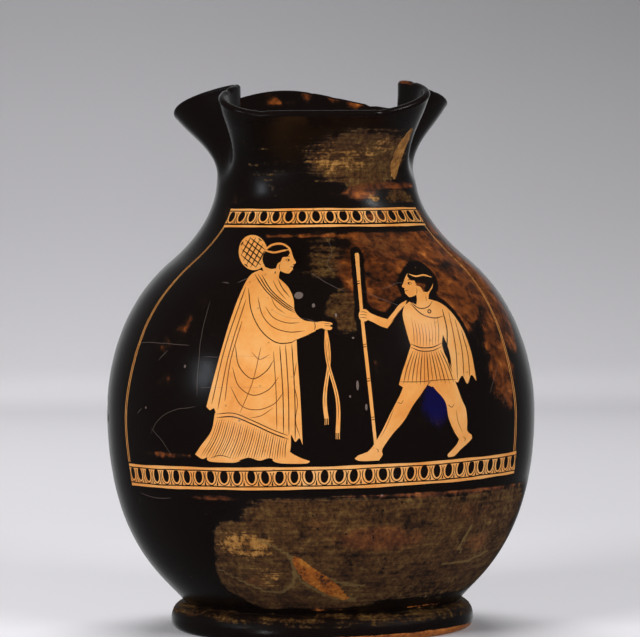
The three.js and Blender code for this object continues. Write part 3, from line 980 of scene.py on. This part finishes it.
def pot_rows():
    """The closed section of the pot: places, directions, and how far out and along the clay's
    surface lies, from the middle underneath round to the middle of the floor inside."""
    foot = foot_outline()
    levels = outer_levels()
    outer = np.stack([radius_at(levels), levels], axis=1)
    turns = np.radians(np.arange(15, 180, 15))
    lip = np.repeat(outer[-1:], len(turns), axis=0)
    inner_levels = np.linspace(LIP_LEVEL, FOOT_HEIGHT + 1.5, round((LIP_LEVEL - FOOT_HEIGHT) / INNER_STEP))
    inner = np.stack([radius_at(inner_levels), inner_levels], axis=1)
    floor_radius = WAIST_RADIUS - FLOOR_INSET
    share = np.linspace(1, 0.08, 14)
    floor = np.stack([share * floor_radius, FLOOR_LEVEL + FLOOR_DISH * share ** 3], axis=1)
    places = np.vstack([foot, outer, lip, inner, floor])
    ways = np.vstack([
        np.tile(UPRIGHT, (len(foot), 1)), way_at(levels),
        np.repeat(way_at(levels[-1:]), len(turns), axis=0), way_at(inner_levels),
        np.tile(UPRIGHT, (len(floor), 1)),
    ])
    out = np.concatenate([
        np.zeros(len(foot) + len(outer)), LIP_WALL / 2 * (np.cos(turns) - 1),
        -wall_at(inner_levels), np.zeros(len(floor)),
    ])
    along = np.zeros(len(places))
    first_lip = len(foot) + len(outer)
    along[first_lip:first_lip + len(turns)] = LIP_WALL / 2 * np.sin(turns)
    outer_rows = slice(len(foot), first_lip)
    inside_rows = first_lip + len(turns)
    return places, ways, out, along, outer_rows, inside_rows


def lip_chips(angle):
    """How much of the lip's edge is worn or chipped off at angles."""
    rng = np.random.default_rng(5)
    worn_off = 0.12 + 0.1 * np.sin(np.radians(angle * 7)) * np.sin(np.radians(angle * 3) + 1)
    for _ in range(34):
        middle, half, depth = rng.uniform(0, 360), rng.uniform(0.8, 2.4), rng.uniform(0.1, 0.5)
        off = np.abs(from_middle(angle, middle))
        worn_off = worn_off + depth * (1 - smoothstep(off, half * 0.4, half))
    return worn_off


def make_body(material):
    """The whole pot but its painted front and its handle."""
    places, ways, out, along, outer_rows, inside_rows = pot_rows()
    angles = np.arange(SIDES_ROUND) * 360.0 / SIDES_ROUND
    shape = (len(places), len(angles))
    grid_angle = np.broadcast_to(angles, shape)
    place, way = (np.broadcast_to(pairs[:, None], shape + (2,)) for pairs in (places, ways))
    marks = np.zeros(shape)
    marks[outer_rows] = throwing_marks(grid_angle[outer_rows], place[outer_rows, :, 1])
    at_lip = smoothstep(place[..., 1], LIP_LEVEL - 3, LIP_LEVEL)
    along = along[:, None] - at_lip * lip_chips(grid_angle)
    points = clay_surface(grid_angle, place, way, out[:, None] + marks, along)
    aside = np.roll(points, -1, axis=1) - np.roll(points, 1, axis=1)
    normals = unit(np.cross(aside, np.gradient(points, axis=0)))
    outer = np.zeros(len(places), bool)
    outer[outer_rows] = True
    whole = (at_lip == 0) & outer[:, None]
    normals[whole] = outer_normal(grid_angle[whole], place[..., 1][whole])
    panel = outer & (places[:, 1] >= PANEL_LOW - TOUCHING) & (places[:, 1] < PANEL_HIGH - TOUCHING)

    def in_front(row, column):
        turned = from_middle(angles[column])
        return panel[row] & (turned >= PANEL_LEFT) & (turned < PANEL_RIGHT)

    faces = grid_faces(*shape, skip=in_front)
    flat, flat_normals = points.reshape(-1, 3), normals.reshape(-1, 3)
    # The middle points under the foot and on the floor inside, each closing its last row
    ends = [(0, 0, RECESS_DEPTH + RECESS_RISE), (0, 0, FLOOR_LEVEL)]
    count, columns = len(flat), len(angles)
    last = count - columns
    fans = [[count, (side + 1) % columns, side] for side in range(columns)]
    fans += [[count + 1, last + side, last + (side + 1) % columns] for side in range(columns)]
    used = np.unique(faces)
    renumber = np.full(count + 2, -1)
    renumber[used] = np.arange(len(used))
    renumber[count:] = len(used) + np.arange(2)
    all_points = np.vstack([flat[used], ends])
    all_normals = np.vstack([flat_normals[used], (0, 0, -1), (0, 0, 1)])
    all_faces = renumber[faces].tolist() + renumber[np.array(fans)].tolist()
    row_of = np.repeat(np.arange(shape[0]), columns)[used]
    inside = np.append(row_of >= inside_rows, [False, True])
    angle_of = np.append(grid_angle.reshape(-1)[used], [0, 0])
    values = weathering(angle_of, all_points, inside)
    return make_piece("jug_body", all_points, all_faces, material, all_normals, values)


def patch(angle, level, middle, half, soft):
    """1 inside an oval of the skin, falling softly to 0 round its edge."""
    off = np.hypot(from_middle(angle, middle[0]) / half[0], (level - middle[1]) / half[1])
    return 1 - smoothstep(off, 1 - soft, 1 + soft)


def beside_line(angle, level, line, half):
    """1 along a line of (angle, level) points, falling to 0 beside it."""
    points = np.stack([angle * UNROLLED, level], axis=-1)
    given = np.array(line, float) * (UNROLLED, 1)
    off = np.full(np.shape(level), 1e9)
    for start, end in zip(given, given[1:]):
        way = end - start
        share = np.clip((points - start) @ way / (way @ way), 0, 1)
        off = np.minimum(off, np.linalg.norm(points - start - share[..., None] * way, axis=-1))
    return 1 - smoothstep(off, half * 0.4, half * 1.6)


def most(angle, level, patches):
    """The strongest of several patches: (strength, middle, half size, softness)."""
    return np.max([strength * patch(angle, level, *place) for strength, *place in patches], axis=0)


def weathering(angle, points, inside):
    """Attributes that steer the material over a piece: how thick the gloss is, how far the
    picture's outlines lie, and where the skin was fired thin and brown, is rubbed dull, is
    covered with ochre earth, has its orange scar and pale seams, or has lost its gloss."""
    level = points[:, 2]
    reach = np.hypot(points[:, 0], points[:, 1])
    bare = inside & (level < NECK_LEVEL - 6)
    bare |= (level < RECESS_DEPTH + RECESS_RISE + 0.5) & (reach < FOOT_RADIUS - FOOT_EDGE_ROUND + 0.5)
    outside = ~inside
    turned = from_middle(angle)
    thin = most(angle, level, THIN_PATCHES)
    edge = np.interp(level, *LOW_PATCH_EDGE)
    left = smoothstep(turned, edge - 1, edge + 1.2)
    left *= 1 - smoothstep(level, 46, 60) * (1 - smoothstep(turned, -28, -12))
    low_patch = left * (1 - smoothstep(turned, 66, 86))
    low_patch *= smoothstep(level, 12.5, 17 + 8 * smoothstep(turned, 5, 30))
    low_patch *= 1 - smoothstep(level, 58, 68)
    worn = np.maximum(most(angle, level, WORN_PATCHES), low_patch)
    ochre = most(angle, level, OCHRE_PATCHES)
    seam = np.max([beside_line(turned, level, line, half) for line, half in OCHRE_LINES], axis=0)
    lens = beside_line(turned, level, LENS, LENS_HALF * patch(angle, level, *LENS_REACH) + 0.1)
    foot_edge = patch(angle, level, *FOOT_EDGE_PATCH) + FOOT_EDGE_BALD * (1 - smoothstep(level, 1, 3.5))
    lip = LIP_BALD * smoothstep(level, LIP_LEVEL - 1.5, LIP_LEVEL + 0.5) * (np.abs(turned) < 60)
    bald = np.maximum.reduce([foot_edge, lip, most(angle, level, BALD_PATCHES)])
    values = {
        "gloss": np.where(bare, 0.0, 1.0),
        "thin": np.where(outside, thin, most(angle, level, INSIDE_PATCHES)),
        "worn": worn * outside,
        "ochre": ochre * outside,
        "lens": lens * outside,
        "seam": seam * outside,
        "bald": bald,
        "clear": np.full(len(level), CLEAR_REACH),
    }
    return {name: ("POINT", data) for name, data in values.items()}


def outward_at(angle):
    """The level direction away from the axis at an angle."""
    turn = math.radians(angle)
    return np.array([math.sin(turn), -math.cos(turn), 0.0])


def handle_line():
    """The handle's middle line as (distance from the axis, level), both ends in the wall."""
    outward = outward_at(HANDLE_ANGLE)

    def on_stretch(stretch, share):
        lengths = lengths_along(stretch)
        radius, level = read_off(share * lengths[-1], lengths, stretch)
        return pressed(np.array(HANDLE_ANGLE), radius, level)

    on_lip = on_stretch(STRETCHES[3], ROOT_ON_FLARE)
    on_shoulder = on_stretch(STRETCHES[1], ROOT_ON_SHOULDER)
    lip_root = on_lip @ outward - NECK_WALL
    shoulder_root = on_shoulder @ outward - BODY_WALL
    reach = on_shoulder @ outward + HANDLE_OVERHANG
    bend_level = on_shoulder[2] + HANDLE_BEND_HEIGHT
    bend = (reach, bend_level)
    upper = (
        (lip_root, on_lip[2]), (lerp(lip_root, reach, TOP_HOLD), on_lip[2] + ROOT_RISE),
        (reach, lerp(bend_level, on_lip[2], BEND_HOLD_ABOVE)), bend,
    )
    lower = (
        bend, (reach, lerp(bend_level, on_shoulder[2], BEND_HOLD_BELOW)),
        (lerp(shoulder_root, reach, LOW_HOLD), lerp(on_shoulder[2], bend_level, LOW_RISE)),
        (shoulder_root, on_shoulder[2]),
    )
    return np.vstack([cubic(*np.array(upper), 200), cubic(*np.array(lower), 200)[1:]])


def hold_in_wall(points):
    """Points that lie nearer the axis than the middle of the wall, moved out to it."""
    angles = np.arange(HANDLE_ANGLE - 30, HANDLE_ANGLE + 31)
    levels = np.linspace(SHOULDER_LEVEL - 40, LIP_LEVEL, 120)
    angle, level = np.meshgrid(angles, levels, indexing="ij")
    place = np.stack([radius_at(level), level], axis=-1)
    middle = clay_surface(angle, place, way_at(level), -wall_at(level) / 2, 0.0)
    reach = np.hypot(middle[..., 0], middle[..., 1])
    turned = np.degrees(np.arctan2(points[:, 0], -points[:, 1])) % 360
    held = points.copy()
    for index, (turn, (x, y, z)) in enumerate(zip(turned, points)):
        column = int(np.clip(round(turn - angles[0]), 0, len(angles) - 1))
        wall = np.interp(z, middle[column, :, 2], reach[column])
        own = math.hypot(x, y)
        if own < wall:
            held[index, :2] *= wall / own
    return held


def make_handle(material):
    """The strap, swelling where it joins the pot, with its ends cut off in the wall."""
    line = handle_line()
    lengths = lengths_along(line)
    steps, sides = 120, 48
    along = np.linspace(0, lengths[-1], steps + 1)
    centre = read_off(along, lengths, line)
    way = unit(np.gradient(centre, axis=0))
    to_root = np.minimum(along, lengths[-1] - along)
    swell = 1 + ROOT_SWELL * (1 - smoothstep(to_root, 0, ROOT_SWELL_LENGTH))
    swell += FILLET_SWELL * (1 - smoothstep(to_root, 3, FILLET_LENGTH))
    phi = np.linspace(0, 2 * np.pi, sides, endpoint=False)
    outward = outward_at(HANDLE_ANGLE)
    aside = np.array([-outward[1], outward[0], 0.0])
    upward = np.array([0.0, 0.0, 1.0])
    normal = way[:, 1, None] * outward - way[:, 0, None] * upward
    middle = centre[:, 0, None] * outward + centre[:, 1, None] * upward
    wide = (STRAP_WIDTH / 2 * swell)[:, None, None] * np.cos(phi)[None, :, None] * aside
    thick = (STRAP_THICKNESS / 2 * swell)[:, None, None] * np.sin(phi)[None, :, None] * normal[:, None]
    points = hold_in_wall((middle[:, None] + wide + thick).reshape(-1, 3))
    faces = grid_faces(steps + 1, sides).tolist()
    faces.append(list(range(sides)))
    faces.append(list(range(steps * sides + sides - 1, steps * sides - 1, -1)))
    values = weathering(np.full(len(points), HANDLE_ANGLE), points, np.zeros(len(points), bool))
    return make_piece("jug_handle", points, faces, material, values=values)


def make_panel(material):
    """The painted front as a piece of its own, its faces following the picture's outlines."""
    columns = np.arange(PANEL_LEFT, PANEL_RIGHT + 1, dtype=float) * UNROLLED
    levels = outer_levels()
    levels = levels[(levels >= PANEL_LOW - TOUCHING) & (levels <= PANEL_HIGH + TOUCHING)]
    border = [(across, levels[0]) for across in columns]
    border += [(columns[-1], level) for level in levels[1:]]
    border += [(across, levels[-1]) for across in columns[-2::-1]]
    border += [(columns[0], level) for level in levels[-2:0:-1]]
    marks = paint_front()
    later = scratches()
    points, edges, count = [], [], 0
    for shape in [np.array(border)] + [shape for shape, _ in marks + later]:
        index = np.arange(len(shape))
        points.append(shape)
        edges.append(count + np.stack([index, np.roll(index, -1)], axis=1))
        count += len(shape)
    between = [
        np.linspace(side[0], side[-1], round((side[-1] - side[0]) / PANEL_STEP))[1:-1]
        for side in (columns, levels)
    ]
    points.append(np.stack(np.meshgrid(*between), axis=-1).reshape(-1, 2))
    bare_edges = np.vstack([shape for shape, tone in marks if tone == BARE])
    drawn = KDTree(len(bare_edges))
    for x, y in bare_edges:
        drawn.insert((x, y, 0), 0)
    drawn.balance()
    flat = [Vector(point) for point in np.vstack(points)]
    made = delaunay_2d_cdt(flat, np.vstack(edges).tolist(), [], 0, WELD, False)
    flat = np.array([tuple(point) for point in made[0]])
    faces = np.array([face for face in made[2] if len(face) == 3])
    middles = flat[faces].mean(axis=1)
    gloss, scratch = np.ones(len(faces)), np.zeros(len(faces))
    for layer, shapes in ((gloss, marks), (scratch, later)):
        for shape, value in shapes:
            layer[inside_outline(middles, shape)] = value
    angle, level = flat[:, 0] / UNROLLED, flat[:, 1]
    points = outer_point(angle, level)
    values = weathering(angle, points, np.zeros(len(points), bool))
    values["gloss"] = ("FACE", gloss)
    values["scratch"] = ("FACE", scratch)
    values["clear"] = ("POINT", [min(CLEAR_REACH, drawn.find((x, y, 0))[2]) for x, y in flat])
    values["blue"] = ("POINT", patch(angle, level, *BLUE_SPOT))
    piece = make_piece("jug_front", points, faces.tolist(), material, outer_normal(angle, level), values)
    low, high = flat.min(axis=0), flat.max(axis=0)
    unrolled = 0.01 + 0.98 * (flat - low) / (high - low)
    layer = piece.data.uv_layers.new(name="OFBake")
    corners = np.empty(len(piece.data.loops), np.int32)
    piece.data.loops.foreach_get("vertex_index", corners)
    layer.data.foreach_set("uv", unrolled[corners].astype(np.float32).ravel())
    return piece


class Shading:
    """Short ways to add nodes to a material or a world; a socket or a number can feed any input."""

    def __init__(self, owner, shader="Principled BSDF"):
        owner.use_nodes = True
        self.owner = owner
        self.tree = owner.node_tree
        self.inputs = self.tree.nodes[shader].inputs

    def node(self, kind, settings=None, **inputs):
        made = self.tree.nodes.new("ShaderNode" + kind)
        for key, value in (settings or {}).items():
            setattr(made, key, value)
        for key, value in inputs.items():
            socket = made.inputs[int(key[1:]) if key[1:].isdigit() else key]
            self.feed(socket, value)
        return made

    def feed(self, socket, value):
        if isinstance(value, bpy.types.NodeSocket):
            self.tree.links.new(value, socket)
        else:
            socket.default_value = value

    def attribute(self, name):
        return self.node("Attribute", {"attribute_name": name}).outputs["Fac"]

    def maths(self, operation, first, second, clamp=False):
        settings = {"operation": operation, "use_clamp": clamp}
        return self.node("Math", settings, _0=first, _1=second).outputs[0]

    def times(self, first, second, clamp=False):
        return self.maths("MULTIPLY", first, second, clamp)

    def total(self, base, *parts):
        """base plus each socket times its weight."""
        for socket, weight in parts:
            base = self.maths("ADD", base, self.times(socket, weight))
        return base

    def step(self, value, low, high, start=0.0, end=1.0):
        settings = {"interpolation_type": "SMOOTHSTEP"}
        return self.node("MapRange", settings, _0=value, _1=low, _2=high, _3=start, _4=end).outputs[0]

    def noise(self, vector, scale, detail, rough=0.55, bend=0.0):
        """Noise from about -0.5 to 0.5."""
        made = self.node(
            "TexNoise", None, Vector=vector, Scale=scale, Detail=detail, Roughness=rough, Distortion=bend,
        )
        return self.maths("SUBTRACT", made.outputs["Fac"], 0.5)

    def stretched(self, vector, scale):
        return self.node("Mapping", None, Vector=vector, Scale=scale).outputs["Vector"]

    def ramp(self, value, stops):
        made = self.node("ValToRGB", None, Fac=value)
        elements = made.color_ramp.elements
        while len(elements) < len(stops):
            elements.new(0.5)
        for element, (place, colour) in zip(elements, stops):
            element.position = place
            element.color = colour + (1,)
        return made.outputs["Color"]

    def blend(self, share, first, second):
        made = self.node("Mix", {"data_type": "RGBA"}, _0=share)
        self.feed(made.inputs[6], first)
        self.feed(made.inputs[7], second)
        return made.outputs[2]


def clay_material():
    """Orange clay under gloss that runs from thin and brown to thick and black, with worn skin."""
    clay = Shading(bpy.data.materials.new("fired_clay"))
    noise, step, ramp, blend = clay.noise, clay.step, clay.ramp, clay.blend
    attribute, maths, times, total = clay.attribute, clay.maths, clay.times, clay.total
    place = clay.node("TexCoord").outputs["Object"]
    large = noise(place, 38, 5, 0.6, 0.6)
    blotch = noise(place, 110, 6, 0.62, 0.8)
    speck = noise(place, 620, 5, 0.65)
    streak = noise(clay.stretched(place, (34, 34, 620)), 1.0, 6, 0.68)
    line = noise(clay.stretched(place, (90, 90, 1500)), 1.0, 3, 0.6)

    # Where the gloss is fired thin, rubbed or gone; never right beside the painted outlines
    def zone(name, low, high, *parts):
        """Where an attribute, made uneven by noises, passes from low to high."""
        return step(total(attribute(name), *parts), low, high)

    clear = zone("clear", 1.9, 3.0, (blotch, 1.6))
    thin = times(zone("thin", 0.38, 0.78, (blotch, 1.0), (large, 0.7), (streak, 0.25)), clear)
    thin = times(thin, step(attribute("thin"), 0.02, 0.15))
    bald = zone("bald", 0.52, 0.7, (streak, 0.9), (blotch, 0.8), (speck, 0.5))
    worn = zone("worn", 0.32, 0.68, (streak, 1.3), (blotch, 0.9), (speck, 0.7), (large, 0.4))
    worn = times(times(worn, clear), maths("SUBTRACT", 1.0, bald))
    ochre = times(zone("ochre", 0.46, 0.64, (streak, 0.8), (blotch, 0.7), (speck, 0.45)), clear)
    scratch = attribute("scratch")

    # Thickness of the gloss and its colour
    mottle = noise(place, 210, 4, 0.6, 0.5)
    cover = total(0.6, (blotch, 1.5), (mottle, 1.5), (speck, 0.6), (large, 0.4))
    loss = times(thin, times(cover, 0.64, True))
    loss = maths("MAXIMUM", loss, times(bald, total(0.64, (speck, 0.7), (streak, 0.7))))
    patchy = step(total(0.0, (large, 1.0), (streak, 0.3)), 0.08, 0.4, 0.0, 0.018)
    share = maths("SUBTRACT", maths("SUBTRACT", 1.0, loss), patchy)
    gloss = attribute("gloss")
    thickness = times(gloss, share)
    thickness = total(thickness, (times(gloss, speck), 0.12))
    slip = ramp(thickness, (
        (0.0, (0.84, 0.365, 0.098)), (0.22, (0.58, 0.19, 0.035)), (0.45, (0.21, 0.055, 0.01)),
        (0.68, (0.066, 0.017, 0.005)), (0.86, (0.0125, 0.006, 0.0034)), (1.0, (0.0052, 0.0028, 0.0022)),
    ))
    fired = ramp(total(0.5, (large, 1.6), (speck, 0.3), (blotch, 0.6)), (
        (0.2, (0.72, 0.26, 0.05)), (0.5, (0.8, 0.345, 0.085)), (0.8, (0.83, 0.42, 0.14)),
    ))
    bare = step(thickness, 0.02, 0.1, 1.0, 0.0)
    colour = blend(bare, slip, fired)
    dull = ramp(total(0.47, (large, 0.35), (blotch, 0.8), (mottle, 0.6), (streak, 0.75), (speck, 1.1)), (
        (0.14, (0.008, 0.005, 0.003)), (0.34, (0.036, 0.015, 0.005)), (0.5, (0.07, 0.029, 0.0085)),
        (0.66, (0.1, 0.052, 0.014)), (0.86, (0.165, 0.095, 0.026)),
    ))
    rust = ramp(total(0.5, (mottle, 1.2), (speck, 0.8)), (
        (0.25, (0.045, 0.014, 0.006)), (0.5, (0.105, 0.03, 0.009)), (0.8, (0.21, 0.075, 0.017)),
    ))
    dull = blend(times(thin, 0.8), dull, rust)
    colour = blend(worn, colour, dull)
    earth = ramp(total(0.5, (blotch, 1.2), (speck, 0.9)), (
        (0.16, (0.05, 0.028, 0.012)), (0.42, (0.24, 0.1, 0.022)), (0.62, (0.37, 0.18, 0.042)),
        (0.9, (0.52, 0.27, 0.09)),
    ))
    orange = ramp(total(0.52, (blotch, 1.3), (speck, 1.4), (mottle, 0.5)), (
        (0.16, (0.02, 0.01, 0.005)), (0.36, (0.22, 0.06, 0.008)), (0.6, (0.34, 0.1, 0.01)),
        (0.86, (0.42, 0.19, 0.03)),
    ))
    colour = blend(ochre, colour, earth)
    seam = step(total(attribute("seam"), (blotch, 0.4), (speck, 0.4)), 0.6, 1.0, 0.0, 0.8)
    colour = blend(seam, colour, (0.16, 0.1, 0.032, 1))
    lens = zone("lens", 0.42, 0.56, (blotch, 0.3), (speck, 0.2))
    colour = blend(lens, colour, orange)
    cells = clay.node("TexVoronoi", {"feature": "F1"}, Vector=place, Scale=300.0, Randomness=1.0)
    rare = step(noise(place, 75, 2), 0.0, 0.12)
    pit = times(step(cells.outputs["Distance"], 0.1, 0.2, 1.0, 0.0), rare)
    pit = times(pit, maths("MAXIMUM", worn, times(bare, 0.35)))
    colour = blend(pit, colour, (0.006, 0.005, 0.004, 1))
    colour = blend(times(scratch, SCRATCH_COVER), colour, (0.2, 0.15, 0.13, 1))
    blue = times(zone("blue", 0.15, 1.15, (speck, 0.5), (blotch, 1.2)), step(gloss, 0.6, 0.9))
    colour = blend(blue, colour, (0.004, 0.003, 0.052, 1))
    clay.feed(clay.inputs["Base Color"], colour)

    # Sheen and fine relief
    rough = total(0.23, (blotch, 0.08), (bare, 0.08), (thin, 0.05), (worn, 0.3), (ochre, 0.35))
    rough = total(rough, (lens, 0.3), (bald, 0.25), (attribute("worn"), 0.7))
    clay.feed(clay.inputs["Roughness"], rough)
    clay.inputs["Specular IOR Level"].default_value = 0.42
    height = total(0.0, (large, 0.25), (line, 0.03), (blotch, 0.05), (pit, -0.5), (scratch, -0.15))
    height = total(height, (times(worn, streak), 0.45), (times(worn, speck), 0.25))
    bump = clay.node("Bump", None, Height=height, Distance=0.0005, Strength=0.8)
    clay.feed(clay.inputs["Normal"], bump.outputs["Normal"])
    return clay.owner


# Camera, light and stage

VIEW_DISTANCE = 1450.0
VIEW_LEVEL = 183.0
VIEW_DOWN = 1.888
VIEW_ROLL = -0.45
VIEW_WIDTH = 11.1
# The room's brightness by how far a direction points behind the jug
SKY = ((0.0, 0.045), (0.7, 0.06), (0.84, 0.12), (0.91, 0.28), (0.965, 0.58))
LIT_POINT = (0.0, 0.0, 0.12)
EYE = (0.0, -VIEW_DISTANCE * MM, VIEW_LEVEL * MM)
# The stage in metres: where its floor begins and ends, the bend of its paper, its top, and where
# its columns stand
STAGE_FRONT = -4.0
STAGE_BACK = 2.4
STAGE_BEND = 1.6
STAGE_TOP = 3.6
STAGE_SIDES = (-4.0, -0.6, -0.3, -0.15, 0.15, 0.3, 0.6, 4.0)
NEAREST_SEEN = 0.5
# The paper's painted shade, as its tone by how steeply it is seen: darker up the wall
STAGE_SEEN = (-1.0, -0.127, -0.094, -0.066, -0.056, -0.05, -0.03, 0.0, 0.03, 0.061)
STAGE_PAINTED_SHADE = (0.8, 0.8, 0.7, 0.71, 0.68, 0.6, 0.56, 0.505, 0.47, 0.415)
# Painted shade: how much darker the paper gets to the right, by how steeply it is seen
SLANT_SEEN = (-0.12, -0.07, 0, 0.06)
SIDE_PAINTED_SHADE = (0.03, 0.075, 0.116, 0.156)
# Half the width of what is seen at a distance of 1
HALF_VIEW = 0.097


def make_camera():
    camera = bpy.data.cameras.new("camera")
    camera.sensor_width = 36
    camera.lens = camera.sensor_width / 2 / math.tan(math.radians(VIEW_WIDTH / 2))
    camera.clip_start = 0.05
    holder = add_object("camera", camera)
    tilt = Matrix.Rotation(math.radians(90 - VIEW_DOWN), 4, "X")
    roll = Matrix.Rotation(math.radians(VIEW_ROLL), 4, "Z")
    place = Matrix.Translation(Vector((0, -VIEW_DISTANCE, VIEW_LEVEL)) * MM)
    holder.matrix_world = place @ tilt @ roll
    bpy.context.scene.camera = holder


def make_light(name, around, up, away, size, power, colour=(1, 1, 1), diffuse=True, glossy=True, aim=None):
    """A soft box at an angle round the jug and a height in degrees, turned to the jug or an aim."""
    light = bpy.data.lights.new(name, "AREA")
    light.shape = "RECTANGLE"
    light.size, light.size_y = size
    light.energy = power
    light.color = colour
    holder = add_object(name, light)
    turn, rise = math.radians(around), math.radians(up)
    way = Vector((math.sin(turn) * math.cos(rise), -math.cos(turn) * math.cos(rise), math.sin(rise)))
    place = Vector(LIT_POINT) + way * away
    holder.location = place
    holder.rotation_euler = (Vector(aim or LIT_POINT) - place).to_track_quat("-Z", "Y").to_euler()
    holder.visible_diffuse = diffuse
    holder.visible_glossy = glossy


def make_stage():
    """A floor that bends up into a back wall, with painted shade that darkens its paper up the wall and to
    the right.
    """
    turns = np.radians(np.linspace(0, 90, 40))
    profile = [(STAGE_FRONT, 0.0)]
    profile += [(y, 0.0) for y in np.linspace(-1, STAGE_BACK, 30)]
    profile += [
        (STAGE_BACK + STAGE_BEND * math.sin(turn), STAGE_BEND * (1 - math.cos(turn))) for turn in turns[1:]
    ]
    profile.append((STAGE_BACK + STAGE_BEND, STAGE_TOP))
    points = np.array([(x, y, z) for y, z in profile for x in STAGE_SIDES])
    last = len(STAGE_SIDES) - 1
    faces = grid_faces(len(profile), len(STAGE_SIDES), lambda row, column: column == last)
    mesh = bpy.data.meshes.new("stage")
    mesh.from_pydata(points.tolist(), [], faces.tolist())
    mesh.shade_smooth()
    # Painted shade: each point's tone comes from how steeply the camera sees it and how far to the right
    # it lies
    shade = mesh.attributes.new("shade", "FLOAT", "POINT")
    x, y, z = (points - EYE).T
    ahead = np.maximum(y, NEAREST_SEEN)
    seen = np.where(y > NEAREST_SEEN, z / ahead, -1.0)
    side_shade_painted = np.interp(seen, SLANT_SEEN, SIDE_PAINTED_SHADE) * np.clip(x / ahead / HALF_VIEW, -1, 1)
    tone = np.interp(seen, STAGE_SEEN, STAGE_PAINTED_SHADE) * (1 - side_shade_painted)
    shade.data.foreach_set("value", tone.astype(np.float32))
    paper = Shading(bpy.data.materials.new("stage_paper_painted_shade"))
    colour = paper.ramp(paper.attribute("shade"), ((0.0, (0, 0, 0)), (1.0, (0.98, 0.96, 1.0))))
    paper.feed(paper.inputs["Base Color"], colour)
    paper.inputs["Roughness"].default_value = 0.95
    paper.inputs["Specular IOR Level"].default_value = 0.1
    mesh.materials.append(paper.owner)
    stage = add_object("stage", mesh)
    stage.visible_glossy = False


def make_lights():
    room = Shading(bpy.data.worlds.new("studio"), "Background")
    way = room.node("SeparateXYZ", None, _0=room.node("TexCoord").outputs["Generated"])
    stops = [(place, (shade * 0.97, shade * 0.98, shade)) for place, shade in SKY]
    room.feed(room.inputs["Color"], room.ramp(way.outputs["Y"], stops))
    bpy.context.scene.world = room.owner
    make_light("front_left", -42, 28, 2.2, (0.9, 0.9), 30, glossy=False)
    make_light("front_right", 40, 24, 2.2, (0.9, 0.9), 23, glossy=False)
    make_light("overhead", 180, 62, 2.6, (1.6, 1.2), 50, glossy=False)
    make_light("wall", 180, 30, 2.2, (2.4, 0.8), 20, glossy=False, aim=(0, 4.0, 0.6))
    make_light("shine_left", -65.5, 16.5, 1.8, (0.26, 0.3), 0.9, (0.8, 0.9, 1.0), diffuse=False)
    make_light("shine_right", 71.4, 35, 1.8, (0.24, 0.24), 2.2, diffuse=False)
    make_light("shine_low", -43, -3, 1.4, (0.12, 0.14), 0.35, diffuse=False)


scene = bpy.context.scene
scene.view_settings.view_transform = "Standard"
clay = clay_material()
make_camera()
make_stage()
make_lights()
make_body(clay)
make_panel(clay)
make_handle(clay)
